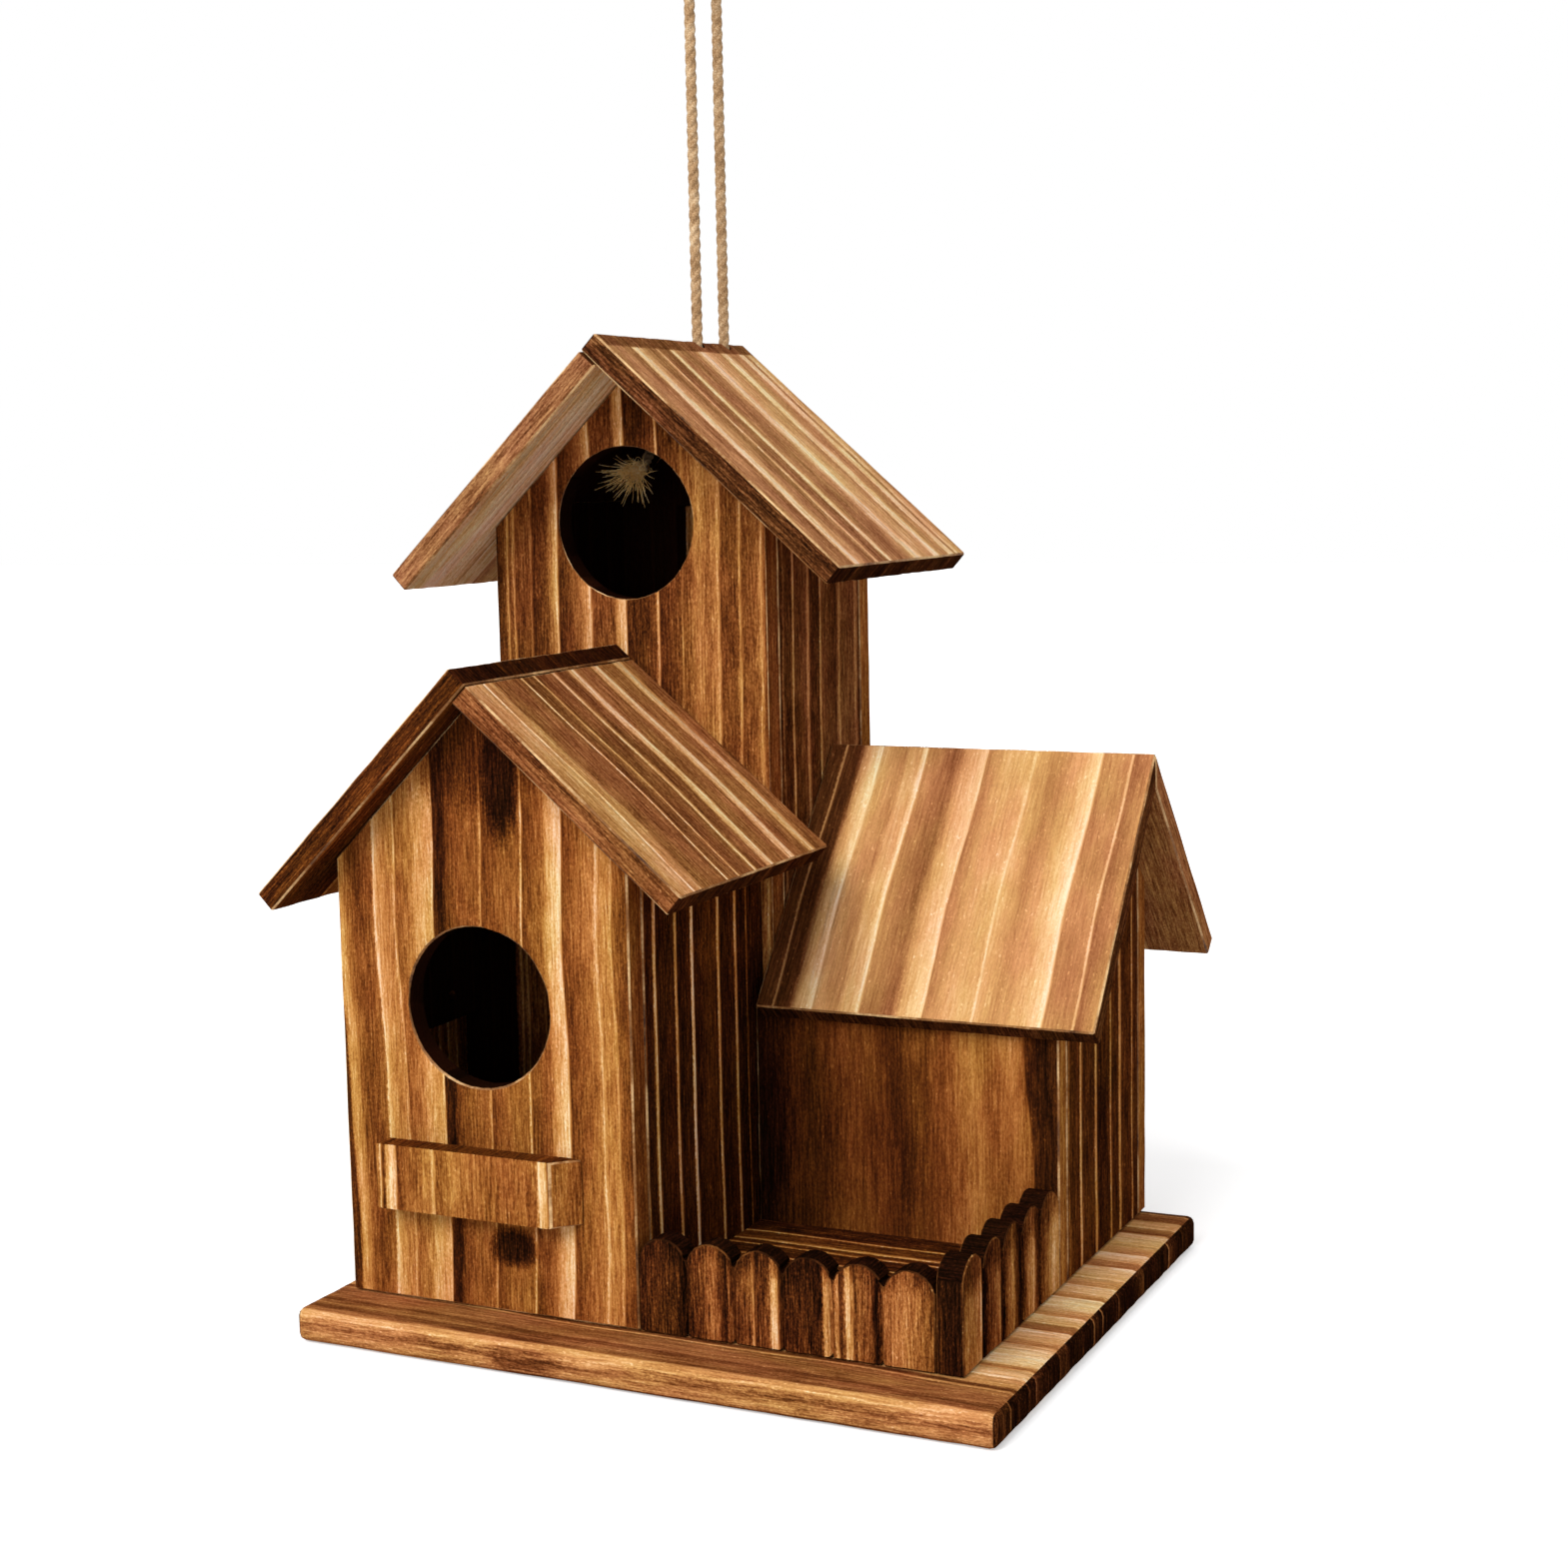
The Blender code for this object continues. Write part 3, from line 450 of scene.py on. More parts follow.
world = bpy.data.worlds.new("studio")
bpy.context.scene.world = world
world.use_nodes = True
sky = world.node_tree.nodes["Background"]
feed(sky.inputs["Color"], white)
sky_seen = seen_by(world.node_tree, "Is Camera Ray", "Is Transmission Ray")
feed(sky.inputs["Strength"], sky_seen * (1 - sky_strength) + sky_strength)
for lamp_name, (strength, direction) in lamps.items():
    lamp = bpy.data.lights.new(lamp_name, "SUN")
    lamp.energy = strength
    lamp.angle = lamp_size
    shown(lamp_name, lamp).rotation_euler = direction.to_track_quat("-Z", "Y").to_euler()

# Base board: one thick planed board with rounded edges, torched and wire-brushed like all the others.
# Its grain runs from left to right, so its ends are the burnt left and right sides.
millimetre = 0.001
char, soot, umber, brown, chestnut = 0.05, 0.14, 0.25, 0.37, 0.48
amber, honey, pale, straw = 0.60, 0.74, 0.88, 0.97
tones = (0.0, soot, umber, brown, chestnut, amber, honey, pale, 1.0)
warm_wood = "#100804 #2b140a #4a250f #6e3b17 #925626 #b5783b #d69c58 #f0c68e #fce6c0".split()
# The tan palette is greyer and paler; mixed in most on the roofs, it is partly their own tone, partly
# painted sheen.
tan_and_sheen_wood = "#120804 #2e170b #4f2d17 #794a2c #9d6c49 #bd8b60 #daaa78 #f2cea0 #fdecd0".split()
streak_scale, streak_length_share = 1500, 0.055
speck_scale, speck_length_share = 2100, 0.42
fleck_scale, fleck_from, fleck_steepness = 1350, 0.665, 11.0
blotch_scale, blotch_share, small_blotch_scale, blotch_length_share = 27, 0.6, 120, 0.3
ragged_edge = 0.0008
streak_strength, speck_strength, fleck_strength, blotch_strength = 0.95, 0.5, 0.15, 0.34
tint_scale, tint_length_share = 75, 0.3
tint_stops = [(0.38, (1.06, 0.93, 0.94, 1.0)), (0.62, (1.02, 1.03, 0.88, 1.0))]
wave_one, wave_two, wave_two_share = 38.0, 91.0, 0.5
lean_power = 3.0
dull_roughness, gloss_of_pale = 0.66, 0.2
grain_bump = 0.0005
wood_specular = 0.0
speck_unevenness, blotch_unevenness = 0.7, 2.2
grain_values = ("Streaks", "Specks", "Flecks", "Blotches", "Tint")


def new_group(name, vectors_in, values_in, colours_out, values_out):
    """A shader node group; gives its tree, its inputs as wires and its output node."""
    tree = bpy.data.node_groups.new(name, "ShaderNodeTree")
    for side, kind, names in (("INPUT", "Vector", vectors_in), ("INPUT", "Float", values_in),
                              ("OUTPUT", "Color", colours_out), ("OUTPUT", "Float", values_out)):
        for socket in names:
            tree.interface.new_socket(name=socket, in_out=side, socket_type="NodeSocket" + kind)
    entry = tree.nodes.new("NodeGroupInput")
    wires = {name: Wire(tree, entry.outputs[name]) for name in vectors_in + values_in}
    return tree, wires, tree.nodes.new("NodeGroupOutput")


def grain_lines():
    """The group that finds where a place lies between a board's grain lines, and the wood's small marks."""
    tree, given, result = new_group("grain_lines", ("Place", "Grain", "Across"),
                                    ("Low", "Width", "Middle", "Lean", "Wave", "Phase"), (),
                                    ("Share",) + grain_values)
    place, width, phase = given["Place"], given["Width"], given["Phase"]
    along = vectors("DOT_PRODUCT", place, given["Grain"], "Value")
    level = vectors("DOT_PRODUCT", place, given["Across"], "Value")
    share = (level - given["Low"]) / width
    leaning = sums("POWER", 1.0 - share, lean_power) * given["Lean"] * (along - given["Middle"])
    waves = (sums("SINE", along * wave_one + phase)
             + sums("SINE", along * wave_two + phase * 2.0) * wave_two_share) * given["Wave"]

    def drawn_out(length_share, scale, detail=2.0, roughness=0.5):
        """Noise that is drawn out along the grain."""
        back = vectors("SCALE", given["Grain"], along * (length_share - 1))
        return noise_at(vectors("ADD", place, back), scale, detail, roughness)

    specks = drawn_out(speck_length_share, speck_scale, 2, 0.65)
    flecks = drawn_out(speck_length_share, fleck_scale, 1)
    blotches = (noise_at(place, blotch_scale, 3) * blotch_share
                + drawn_out(blotch_length_share, small_blotch_scale, 2) * (1 - blotch_share))
    for name, wire in (("Share", share + (leaning + waves) / width + centred(specks, ragged_edge) / width),
                       ("Streaks", drawn_out(streak_length_share, streak_scale, 4, 0.7)),
                       ("Specks", specks), ("Flecks", held((flecks - fleck_from) * fleck_steepness)),
                       ("Blotches", blotches), ("Tint", drawn_out(tint_length_share, tint_scale, 3))):
        feed(result.inputs[name], wire)
    return tree


def burnt_wood():
    """The group that turns a tone and the grain's marks into torched wood."""
    tree, given, result = new_group(
        "burnt_wood", (), ("Tone", "Burn and shade", "Grain strength", "Tan and sheen") + grain_values,
        ("Color",), ("Roughness", "Height"))
    lines = centred(given["Streaks"], streak_strength) + centred(given["Specks"], speck_strength)
    toned = given["Tone"] + (lines * given["Grain strength"] + given["Flecks"] * fleck_strength
                             + centred(given["Blotches"], blotch_strength))
    # The second input darkens the tone: real char on the end grain, painted shade on the faces inside the
    # closed cells.
    burnt_and_shaded = toned * (1.0 - given["Burn and shade"])
    warm, tan_and_sheen = (ramp(burnt_and_shaded, list(zip(tones, map(colour, codes)))) for codes in (warm_wood, tan_and_sheen_wood))
    tint = ramp(given["Tint"], tint_stops)
    feed(result.inputs["Color"], mixed(tree, 1.0, mixed(tree, given["Tan and sheen"], warm, tan_and_sheen), tint, "MULTIPLY"))
    feed(result.inputs["Roughness"], dull_roughness - toned * gloss_of_pale)
    feed(result.inputs["Height"], lines)
    return tree


grain_tree, burnt_tree = grain_lines(), burnt_wood()


def placed_group(material, group, values):
    """A node group in a material, with its own values; gives its outputs as wires."""
    node = material.node_tree.nodes.new("ShaderNodeGroup")
    node.node_tree = group
    for name, value in values.items():
        feed(node.inputs[name], value)
    return {output.name: Wire(material.node_tree, output) for output in node.outputs}


def striped_wood(name, lie, stripes, burn_and_shade=0.0, grain_strength=1.0, tan_and_sheen=0.0, marks=()):
    """Brushed wood whose tone changes across the grain through {millimetre: tone} stops.

    A mark is a scorched or bare spot: its place, its size, how much of it shows, its softness and its tone.
    """
    material, shader = new_material(name, specular=wood_specular)
    place = object_place(material)
    lines = placed_group(material, grain_tree, {"Place": place, **lie})
    width = lie["Width"] / millimetre
    tone = ramp(lines["Share"], [(at / width, (shade,) * 3 + (1.0,)) for at, shade in stripes.items()])
    for mark_place, mark_size, mark_depth, mark_softness, mark_tone in marks:
        away = vectors("LENGTH", vectors("DIVIDE", vectors("SUBTRACT", place, mark_place), mark_size),
                       (0, 0, 0), "Value")
        uneven = (centred(lines["Specks"], speck_unevenness * mark_softness)
                  + centred(lines["Blotches"], blotch_unevenness * mark_softness))
        clear = held((away - 1.0 + uneven) / mark_softness)
        tone = tone + (mark_tone - tone) * ((1.0 - clear) * mark_depth)
    wood = placed_group(material, burnt_tree, {
        "Tone": tone, "Burn and shade": burn_and_shade, "Grain strength": grain_strength, "Tan and sheen": tan_and_sheen,
        **{name: lines[name] for name in grain_values}})
    feed(shader.inputs["Base Color"], wood["Color"])
    feed(shader.inputs["Roughness"], wood["Roughness"])
    bump(shader, wood["Height"], grain_bump)
    return material


wear_scale, fine_wear_scale, wear_share = 42, 900, 0.8
wear_from, wear_steepness = 0.36, 3.6
wear_tree, wear_given, wear_result = new_group("edge_wear", ("Place",), (), (), ("Worn",))
wear_noise = (noise_at(wear_given["Place"], wear_scale, 3, 0.6) * wear_share
              + noise_at(wear_given["Place"], fine_wear_scale, 2) * (1 - wear_share))
feed(wear_result.inputs["Worn"], held((wear_noise - wear_from) * wear_steepness))
edge_bump_scale, edge_bump = 1800, 0.0002


def edge_wood(name, roughness, specular, stops):
    """Wood along a chamfer, where the brush has worn the burnt skin away in places."""
    material, shader = new_material(name, roughness, specular)
    place = object_place(material)
    worn = placed_group(material, wear_tree, {"Place": place})["Worn"]
    feed(shader.inputs["Base Color"], ramp(worn, [(at, colour(code)) for at, code in stops]))
    bump(shader, noise_at(place, edge_bump_scale), edge_bump)
    return material


worn_edge = edge_wood("worn_edge", 0.6, 0.3, [(0.0, "#4a2810"), (0.45, "#9a6634"), (1.0, "#edc38a")])
scorched_edge = edge_wood("scorched_edge", 0.7, 0.0, [(0.0, "#1e0f07"), (0.6, "#4a2812"), (0.92, "#7a4a22"),
                                                      (1.0, "#c08a52")])

groove_half_width, groove_depth, shallow_depth = 0.00032, 0.00026, 0.00012
deep_half_width, deep_depth = 0.0010, 0.0015
groove_tone_step, groove_reach_millimetres = 0.16, 2.6
groove_clearance, groove_margin = 1.5, 3
shallow_spacing, shallow_spacing_range, shallow_depth_range = 0.0031, (0.55, 1.5), (0.6, 1.3)
ripple_step = 0.011
edge_wear_depth, edge_wear_scale, edge_wear_bias, wear_places = 0.00028, 170, 0.25, 97
weld_distance = 0.000002
flat_angle, sharp_angle = math.radians(0.4), math.radians(24)
by_the_side_reach, cell_margin, rim_reach = 0.0032, 0.0045, 0.0290
square_on, mitre_lean, half_turned, sloping = 0.95, 0.6, 0.5, 0.3
edge_line_shares = (0, 0.2, 0.34, 0.5, 0.66, 0.8, 1)
edge_variation, edge_wave = 0.06, 0.0005
# Darkening of faces inside the cells and of hole walls: painted shade, on the hole walls also their char.
inside_painted_shade = 0.82
most_corners = 4
face_finish, worn_finish, side_finish, end_finish, inside_shade_finish = range(5)
axis_vectors = {"X": Vector((1, 0, 0)), "Y": Vector((0, 1, 0))}


def groove_places(stripes, low, high, chance, deep_grooves):
    """Grooves where the tone jumps, and shallow ones between them, as (place, half width, depth)."""
    places = [(low + at * millimetre, deep_half_width, deep_depth) for at in deep_grooves]
    stops = list(stripes.items())
    for (first, tone), (second, following) in zip(stops, stops[1:]):
        if abs(following - tone) > groove_tone_step and second - first < groove_reach_millimetres:
            places.append((low + (first + second) / 2 * millimetre, groove_half_width, groove_depth))
    at = low + shallow_spacing
    while at < high - shallow_spacing:
        at += shallow_spacing * chance.uniform(*shallow_spacing_range)
        places.append((at, groove_half_width, shallow_depth * chance.uniform(*shallow_depth_range)))
    kept = []
    for groove in places:
        clear = all(abs(groove[0] - other[0]) > groove_clearance * (groove[1] + other[1]) for other in kept)
        if clear and low + groove_margin * groove[1] < groove[0] < high - groove_margin * groove[1]:
            kept.append(groove)
    return kept


def cut(board, direction, at):
    """Cut a board's faces along a plane, so that the relief has corners there."""
    bmesh.ops.bisect_plane(board, geom=board.verts[:] + board.edges[:] + board.faces[:],
                           plane_co=direction * at, plane_no=direction, dist=weld_distance)


def wander(place, lie):
    """How far the grain lines are off their straight way, as the grain_lines group has it."""
    at = place.dot(lie["Grain"])
    share = (place.dot(lie["Across"]) - lie["Low"]) / lie["Width"]
    waves = (math.sin(wave_one * at + lie["Phase"])
             + wave_two_share * math.sin(wave_two * at + 2 * lie["Phase"]))
    return lie["Lean"] * max(0.0, 1 - share) ** lean_power * (at - lie["Middle"]) + lie["Wave"] * waves


def cut_grooves(board, lie, start, length, grooves):
    """Cut a board along its grain lines; gives the depth to which each corner sinks into a groove."""
    ripples = max(2, round(length / ripple_step))
    for ripple in range(1, ripples):
        cut(board, lie["Grain"], start + length * ripple / ripples)
    across = lie["Across"]
    home = board.verts.layers.float_vector.new("home")
    for corner in board.verts:
        corner[home] = corner.co
        corner.co = corner.co + across * wander(corner.co, lie)
    for place, half_width, _ in grooves:
        for offset in (-half_width, 0, half_width):
            cut(board, across, place + offset)
    levels = np.array([corner.co.dot(across) for corner in board.verts])
    sink = np.zeros(len(levels))
    for place, _, depth in grooves:
        sink[np.abs(levels - place) < weld_distance * 3] = depth
    for corner in board.verts:
        corner.co = corner[home]
    board.verts.layers.float_vector.remove(board.verts.layers.float_vector["home"])
    board.normal_update()
    return sink


def relief(board, axes, sink, shift):
    """How far each corner moves in, for the grooves and for the chips along the chamfers."""
    worn = {corner for face in board.faces for corner in face.verts
            if max(abs(face.normal.dot(axis)) for axis in axes) < square_on
            and abs(face.normal.dot(axes[0])) > sloping}
    moves = []
    for corner, depth in zip(board.verts, sink):
        if corner in worn:
            chip = noise.noise(corner.co * edge_wear_scale + Vector((shift, 0, 0)))
            depth = max(depth, edge_wear_depth * max(0.0, chip + edge_wear_bias))
        moves.append(corner.normal * -depth)
    return moves


def lies_inside(face, centre, cell):
    """Whether a face looks into a closed cell, given by its lowest and highest corner."""
    low_corner, high_corner = cell
    within = all(low - cell_margin < at < high + cell_margin
                 for low, at, high in zip(low_corner, centre, high_corner))
    return within and ((low_corner + high_corner) / 2 - centre).dot(face.normal) > 0


def finish_of(face, axes, low, high, cell, rims, rounded, mitred):
    """Which of a board's materials a face gets; axes are its thickness, the way across and its grain."""
    upright, sideways, endways = (abs(face.normal.dot(axis)) for axis in axes)
    centre = face.calc_center_median()
    level = centre.dot(axes[1])
    by_the_side = min(level - low, high - level) < by_the_side_reach
    on_rim = any((centre - rim).length < rim_reach for rim in rims)
    if (on_rim and upright < sloping) or (cell and lies_inside(face, centre, cell)):
        return inside_shade_finish
    if upright > square_on:
        return face_finish
    if mitred and sideways > mitre_lean:
        return side_finish
    if rounded and endways > sloping:
        return end_finish
    if upright > sloping and not rounded:
        return worn_finish
    if upright > half_turned:
        return face_finish
    if sideways > (half_turned if rounded else square_on) and by_the_side:
        return side_finish
    return end_finish


def brushed_board(name, across, stripes, body="house", lean=0.0, wave=0.0004, tan_and_sheen=0.0,
                  edge_tone=chestnut, end_tone=umber, end_contrast=0.25, grain_strength=1.0, marks=(),
                  cell=None, rims=(), rounded=False, edge_stripes=None, edge_wear=worn_edge,
                  end_stripes=None, end_burn=0.25, mitred=False, deep_grooves=()):
    """The board of a CAD node, with the relief of the wire brush and its own striped materials."""
    seed = sum(ord(letter) * place for place, letter in enumerate(name, 1))
    chance = random.Random(seed)
    board = bmesh.new()
    board.from_mesh(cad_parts[name].data)
    bmesh.ops.remove_doubles(board, verts=board.verts[:], dist=weld_distance)
    bmesh.ops.dissolve_limit(board, angle_limit=flat_angle, verts=board.verts[:], edges=board.edges[:])
    across = axis_vectors[across]
    broad = max((face for face in board.faces if abs(face.normal.dot(across)) < half_turned),
                key=lambda face: face.calc_area()).normal
    thickness = (broad - across * broad.dot(across)).normalized()
    grain = across.cross(thickness).normalized()
    alongs = [corner.co.dot(grain) for corner in board.verts]
    levels = [corner.co.dot(across) for corner in board.verts]
    low, high, start = min(levels), max(levels), min(alongs)
    length = max(alongs) - start
    lie = {"Grain": grain, "Across": across, "Low": low, "Width": high - low,
           "Middle": (start + max(alongs)) / 2, "Lean": lean / length, "Wave": wave,
           "Phase": chance.uniform(0, 2 * math.pi)}
    if callable(stripes):
        stripes = stripes(lie["Width"] / millimetre, chance)
    grooves = groove_places(stripes, low, high, chance, deep_grooves)
    sink = cut_grooves(board, lie, start, length, grooves)
    axes = (thickness, across, grain)
    moves = relief(board, axes, sink, seed % wear_places)
    for face in board.faces:
        face.material_index = finish_of(face, axes, low, high, cell, rims, rounded, mitred)
    for corner, move in zip(board.verts, moves):
        corner.co += move
    bmesh.ops.triangulate(board, faces=[face for face in board.faces if len(face.verts) > most_corners])
    mesh = bpy.data.meshes.new(name + "_brushed")
    board.to_mesh(mesh)
    board.free()
    mesh.shade_smooth()
    mesh.set_sharp_from_angle(angle=sharp_angle)

    depths = [corner.co.dot(thickness) for corner in mesh.vertices]
    lowest, highest = min(depths), max(depths)
    depth = highest - lowest
    side_lie = {**lie, "Across": thickness, "Low": lowest, "Width": depth, "Lean": 0.0,
                "Wave": edge_wave}
    end_lie = {**lie, "Grain": thickness, "Middle": (lowest + highest) / 2, "Lean": 0.0}
    side_stripes = edge_stripes or {
        share * depth / millimetre: edge_tone + chance.uniform(-1, 1) * edge_variation
        for share in edge_line_shares}
    end_stripes = end_stripes or {at: end_tone + (shade - end_tone) * end_contrast
                                  for at, shade in stripes.items()}
    finishes = [striped_wood(name + "_face", lie, stripes, 0.0, grain_strength, tan_and_sheen, marks), edge_wear,
                striped_wood(name + "_side", side_lie, side_stripes, tan_and_sheen=tan_and_sheen, marks=marks),
                striped_wood(name + "_end", end_lie, end_stripes, burn_and_shade=end_burn, tan_and_sheen=tan_and_sheen)]
    # The inside finish: the face stripes darkened, as painted shade inside the cell.
    if cell:
        finishes.append(striped_wood(name + "_inside", lie, stripes, burn_and_shade=inside_painted_shade))
    for finish in finishes:
        mesh.materials.append(finish)
    piece = shown(name + "_brushed", mesh)
    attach(piece, body)
    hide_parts(name)


crisp_line_millimetres = 0.45


def lined(bands):
    """Stops for bands given as (end, first tone, last tone, line tone), a thin line at the end of each."""
    stops, start = [], 0.0
    for end, first_tone, last_tone, line_tone in bands:
        stops += [(start, first_tone), (end - 2 * crisp_line_millimetres, last_tone),
                  (end - crisp_line_millimetres, line_tone)]
        start = end
    return dict(stops + [(start, last_tone)])


base_bands = [
    (2.2, chestnut, brown, brown), (6.5, brown, chestnut, amber), (10.5, chestnut, brown, brown),
    (13.2, brown, chestnut, amber), (17.0, chestnut, chestnut, chestnut),
    (22.6, chestnut, chestnut, honey), (25.4, brown, brown, soot), (33.2, amber, honey, straw),
    (40.4, pale, honey, straw), (44, chestnut, honey, pale), (51, pale, pale, straw),
    (61, pale, honey, straw), (66, chestnut, honey, pale), (74.6, honey, pale, straw),
    (82, chestnut, amber, pale), (88.8, honey, pale, straw), (96, amber, honey, honey),
    (107.6, pale, pale, straw), (114, chestnut, honey, pale), (121, honey, pale, straw),
    (130.4, amber, honey, straw), (142.4, honey, pale, straw), (150, chestnut, amber, pale),
    (157.8, honey, pale, straw), (169.8, amber, honey, straw), (181.6, honey, pale, straw),
    (190, brown, amber, pale), (197.8, honey, honey, straw), (206.4, brown, chestnut, pale),
    (211, umber, umber, umber)]
base_edge_stripes = {
    0: brown, 0.8: chestnut, 2.2: amber, 3.4: amber, 4.4: amber, 5.6: chestnut, 6.6: chestnut, 7.6: amber,
    8.6: amber, 9.2: honey, 9.9: chestnut, 11.5: amber}
base_end_bands = [
    (6, soot, umber, brown), (13, umber, soot, honey), (20, char, soot, umber), (29, soot, char, pale),
    (36, char, soot, amber), (47, umber, soot, honey), (58, char, char, brown), (66, soot, umber, pale),
    (80, char, soot, umber), (92, soot, char, honey), (101, umber, char, amber), (118, char, soot, pale),
    (131, soot, char, umber), (146, char, umber, honey), (160, soot, char, amber), (177, char, soot, pale),
    (194, umber, char, brown), (211, soot, soot, soot)]
base_marks = (((-0.030, -0.1235, 0.006), (0.010, 0.006, 0.0045), 0.5, 0.9, umber),
              ((0.046, -0.1235, 0.009), (0.020, 0.008, 0.0035), 0.3, 0.8, brown),
              ((0.020, -0.1227, 0.0107), (0.240, 0.0010, 0.0012), 0.6, 0.8, pale))
brushed_board("base_board", "Y", lined(base_bands), lean=0.008, wave=0.0008, tan_and_sheen=0.35,
              end_stripes=lined(base_end_bands), end_burn=0.0, rounded=True, edge_stripes=base_edge_stripes,
              grain_strength=0.72, marks=base_marks)

# Front house walls: three upright boards. The front one is full width, covers the side walls' edges
# and has the round entrance sawn out; it is the palest wall and carries two scorched knots.
front_wall_stripes = {
    0: umber, 0.8: amber, 2.4: honey, 4.6: amber, 6: chestnut, 10: brown, 15.6: chestnut, 16.2: straw,
    17.2: honey, 21: amber, 23.6: amber, 24.1: pale, 24.7: chestnut, 31: amber, 32.4: honey, 38.4: honey,
    38.9: straw, 39.5: umber, 42.6: soot, 44.4: brown, 50: chestnut, 56.6: chestnut, 57.1: pale,
    57.7: brown, 64: chestnut, 71.8: chestnut, 72.4: pale, 73: brown, 80: chestnut, 82.4: honey,
    86.2: pale, 86.9: straw, 87.7: brown, 93: chestnut, 99: amber, 99.8: pale, 101: amber, 104.6: amber,
    105.4: honey, 106: chestnut, 109.8: brown}
# This wall faces away from the key light: its dark ground and soot edges are partly its own tone, partly
# painted shade.
dark_and_shaded_lines = {
    0: umber, 0.7: amber, 1.6: soot, 6.4: umber, 7.0: honey, 8.2: pale, 9.2: soot, 21.2: umber,
    21.8: honey, 23: honey, 23.8: soot, 32.8: umber, 33.4: pale, 34.8: straw, 35.6: soot, 44: umber,
    52: umber, 52.8: honey, 54: honey, 54.8: soot, 65.4: umber, 66: honey, 67.2: honey, 68: soot,
    74.4: soot, 75: chestnut, 76: soot, 87.5: soot}
# The first two marks are the scorched knots; the third darkens the wall's top under the ridge.
front_wall_marks = (((-0.0445, -0.0955, 0.192), (0.0046, 0.02, 0.0165), 0.9, 0.6, char),
              ((-0.0450, -0.0955, 0.0345), (0.0056, 0.02, 0.0050), 0.9, 0.7, char),
              ((-0.0580, -0.0955, 0.222), (0.030, 0.02, 0.028), 0.6, 0.6, soot))
front_cell = (Vector((-0.1006, -0.0910, 0.0118)), Vector((-0.0076, -0.0023, 0.2160)))
front_entrance_rim = Vector((-0.0556, -0.0955, 0.1140))
front_opening_rim = Vector((-0.1051, -0.0465, 0.0750))
band_spacing_range, first_band_range, most_stops = (0.6, 1.5), (0.3, 0.9), 26
line_millimetres, fade_range_millimetres, margin_millimetres = 0.9, (1.4, 3.0), 4
line_tone_range = (0.9, 1.05)


def striped_by_chance(light, dark, line, spacing=11.0):
    """Stripes for a side that the photograph doesn't show: bands with a pale line between them.

    The spacing of the bands is in millimetres.
    """
    def stripes(width, chance):
        stops = [(0, chance.uniform(dark, light))]
        at = spacing * chance.uniform(*first_band_range)
        while at < width - margin_millimetres and len(stops) < most_stops:
            tone = chance.uniform(dark, light)
            stops += [(at, stops[-1][1]), (at + line_millimetres, line * chance.uniform(*line_tone_range)),
                      (at + chance.uniform(*fade_range_millimetres), tone)]
            at += spacing * chance.uniform(*band_spacing_range)
        return dict(stops + [(width, stops[-1][1])])
    return stripes


plain_stripes = striped_by_chance(chestnut, umber, honey)
brushed_board("front_house_front_wall", "X", front_wall_stripes, lean=-0.0075,
              wave=0.0007, edge_tone=brown, marks=front_wall_marks, cell=front_cell, rims=[front_entrance_rim])
brushed_board("front_house_right_wall", "Y", dark_and_shaded_lines, end_tone=soot, edge_tone=soot,
              cell=front_cell)
brushed_board("front_house_left_wall", "Y", plain_stripes, edge_tone=brown, cell=front_cell,
              rims=[front_opening_rim])

# Tower walls: upright boards too, the front one behind the front house's roof, with its own entrance.
# The tower's back and left walls and its floor don't show in the photograph.
tower_front_stripes = {
    0: umber, 3.6: brown, 4.6: honey, 5.5: brown, 6.5: chestnut, 7.1: honey, 8: brown, 13.8: brown,
    14.4: amber, 15.2: umber, 21: brown, 24.4: honey, 25.3: straw, 26.2: umber, 31: brown, 35: chestnut,
    38.2: honey, 38.9: pale, 39.8: brown, 48.6: brown, 49.6: amber, 53.2: pale, 54: umber, 60: umber,
    65.5: brown, 66.3: pale, 67.2: umber, 75.2: brown, 76: amber, 77: brown, 83: amber, 86: chestnut,
    89.4: amber, 90.3: honey, 91.4: brown, 97.6: brown, 98.6: honey, 99.6: brown, 105.8: chestnut,
    106.8: honey, 108.5: brown}
# This wall faces away from the key light: its dark ground and soot edges are partly its own tone, partly
# painted shade.
tower_right_dark_and_shaded_lines = {
    0: umber, 2.6: umber, 3.4: chestnut, 4.6: umber, 10: umber, 11: chestnut, 12: honey, 13: umber,
    22.6: brown, 23.8: amber, 25: amber, 26.2: umber, 34: umber, 35: honey, 36.4: brown, 49: umber,
    50.6: chestnut, 52: amber, 53.6: brown, 65: brown, 66.4: amber, 67.8: chestnut, 69.7: umber}
tower_cell = (Vector((-0.0946, 0.0070, 0.0118)), Vector((-0.0036, 0.0785, 0.3240)))
tower_rims = [Vector((-0.0496, 0.0025, 0.2695)), Vector((-0.0491, 0.0025, 0.0750))]
rear_rims = [Vector((-0.0491, 0.0830, 0.2540))]
brushed_board("tower_front_wall", "X", tower_front_stripes, tan_and_sheen=0.15, edge_tone=brown,
              cell=tower_cell, rims=tower_rims)
brushed_board("tower_right_wall", "Y", tower_right_dark_and_shaded_lines, tan_and_sheen=0.45, end_tone=soot,
              edge_tone=umber, cell=tower_cell)
for board_name, board_across, board_rims in (
        ("tower_left_wall", "Y", []), ("tower_back_wall", "X", rear_rims), ("tower_floor", "Y", [])):
    brushed_board(board_name, board_across, plain_stripes, cell=tower_cell, rims=board_rims)

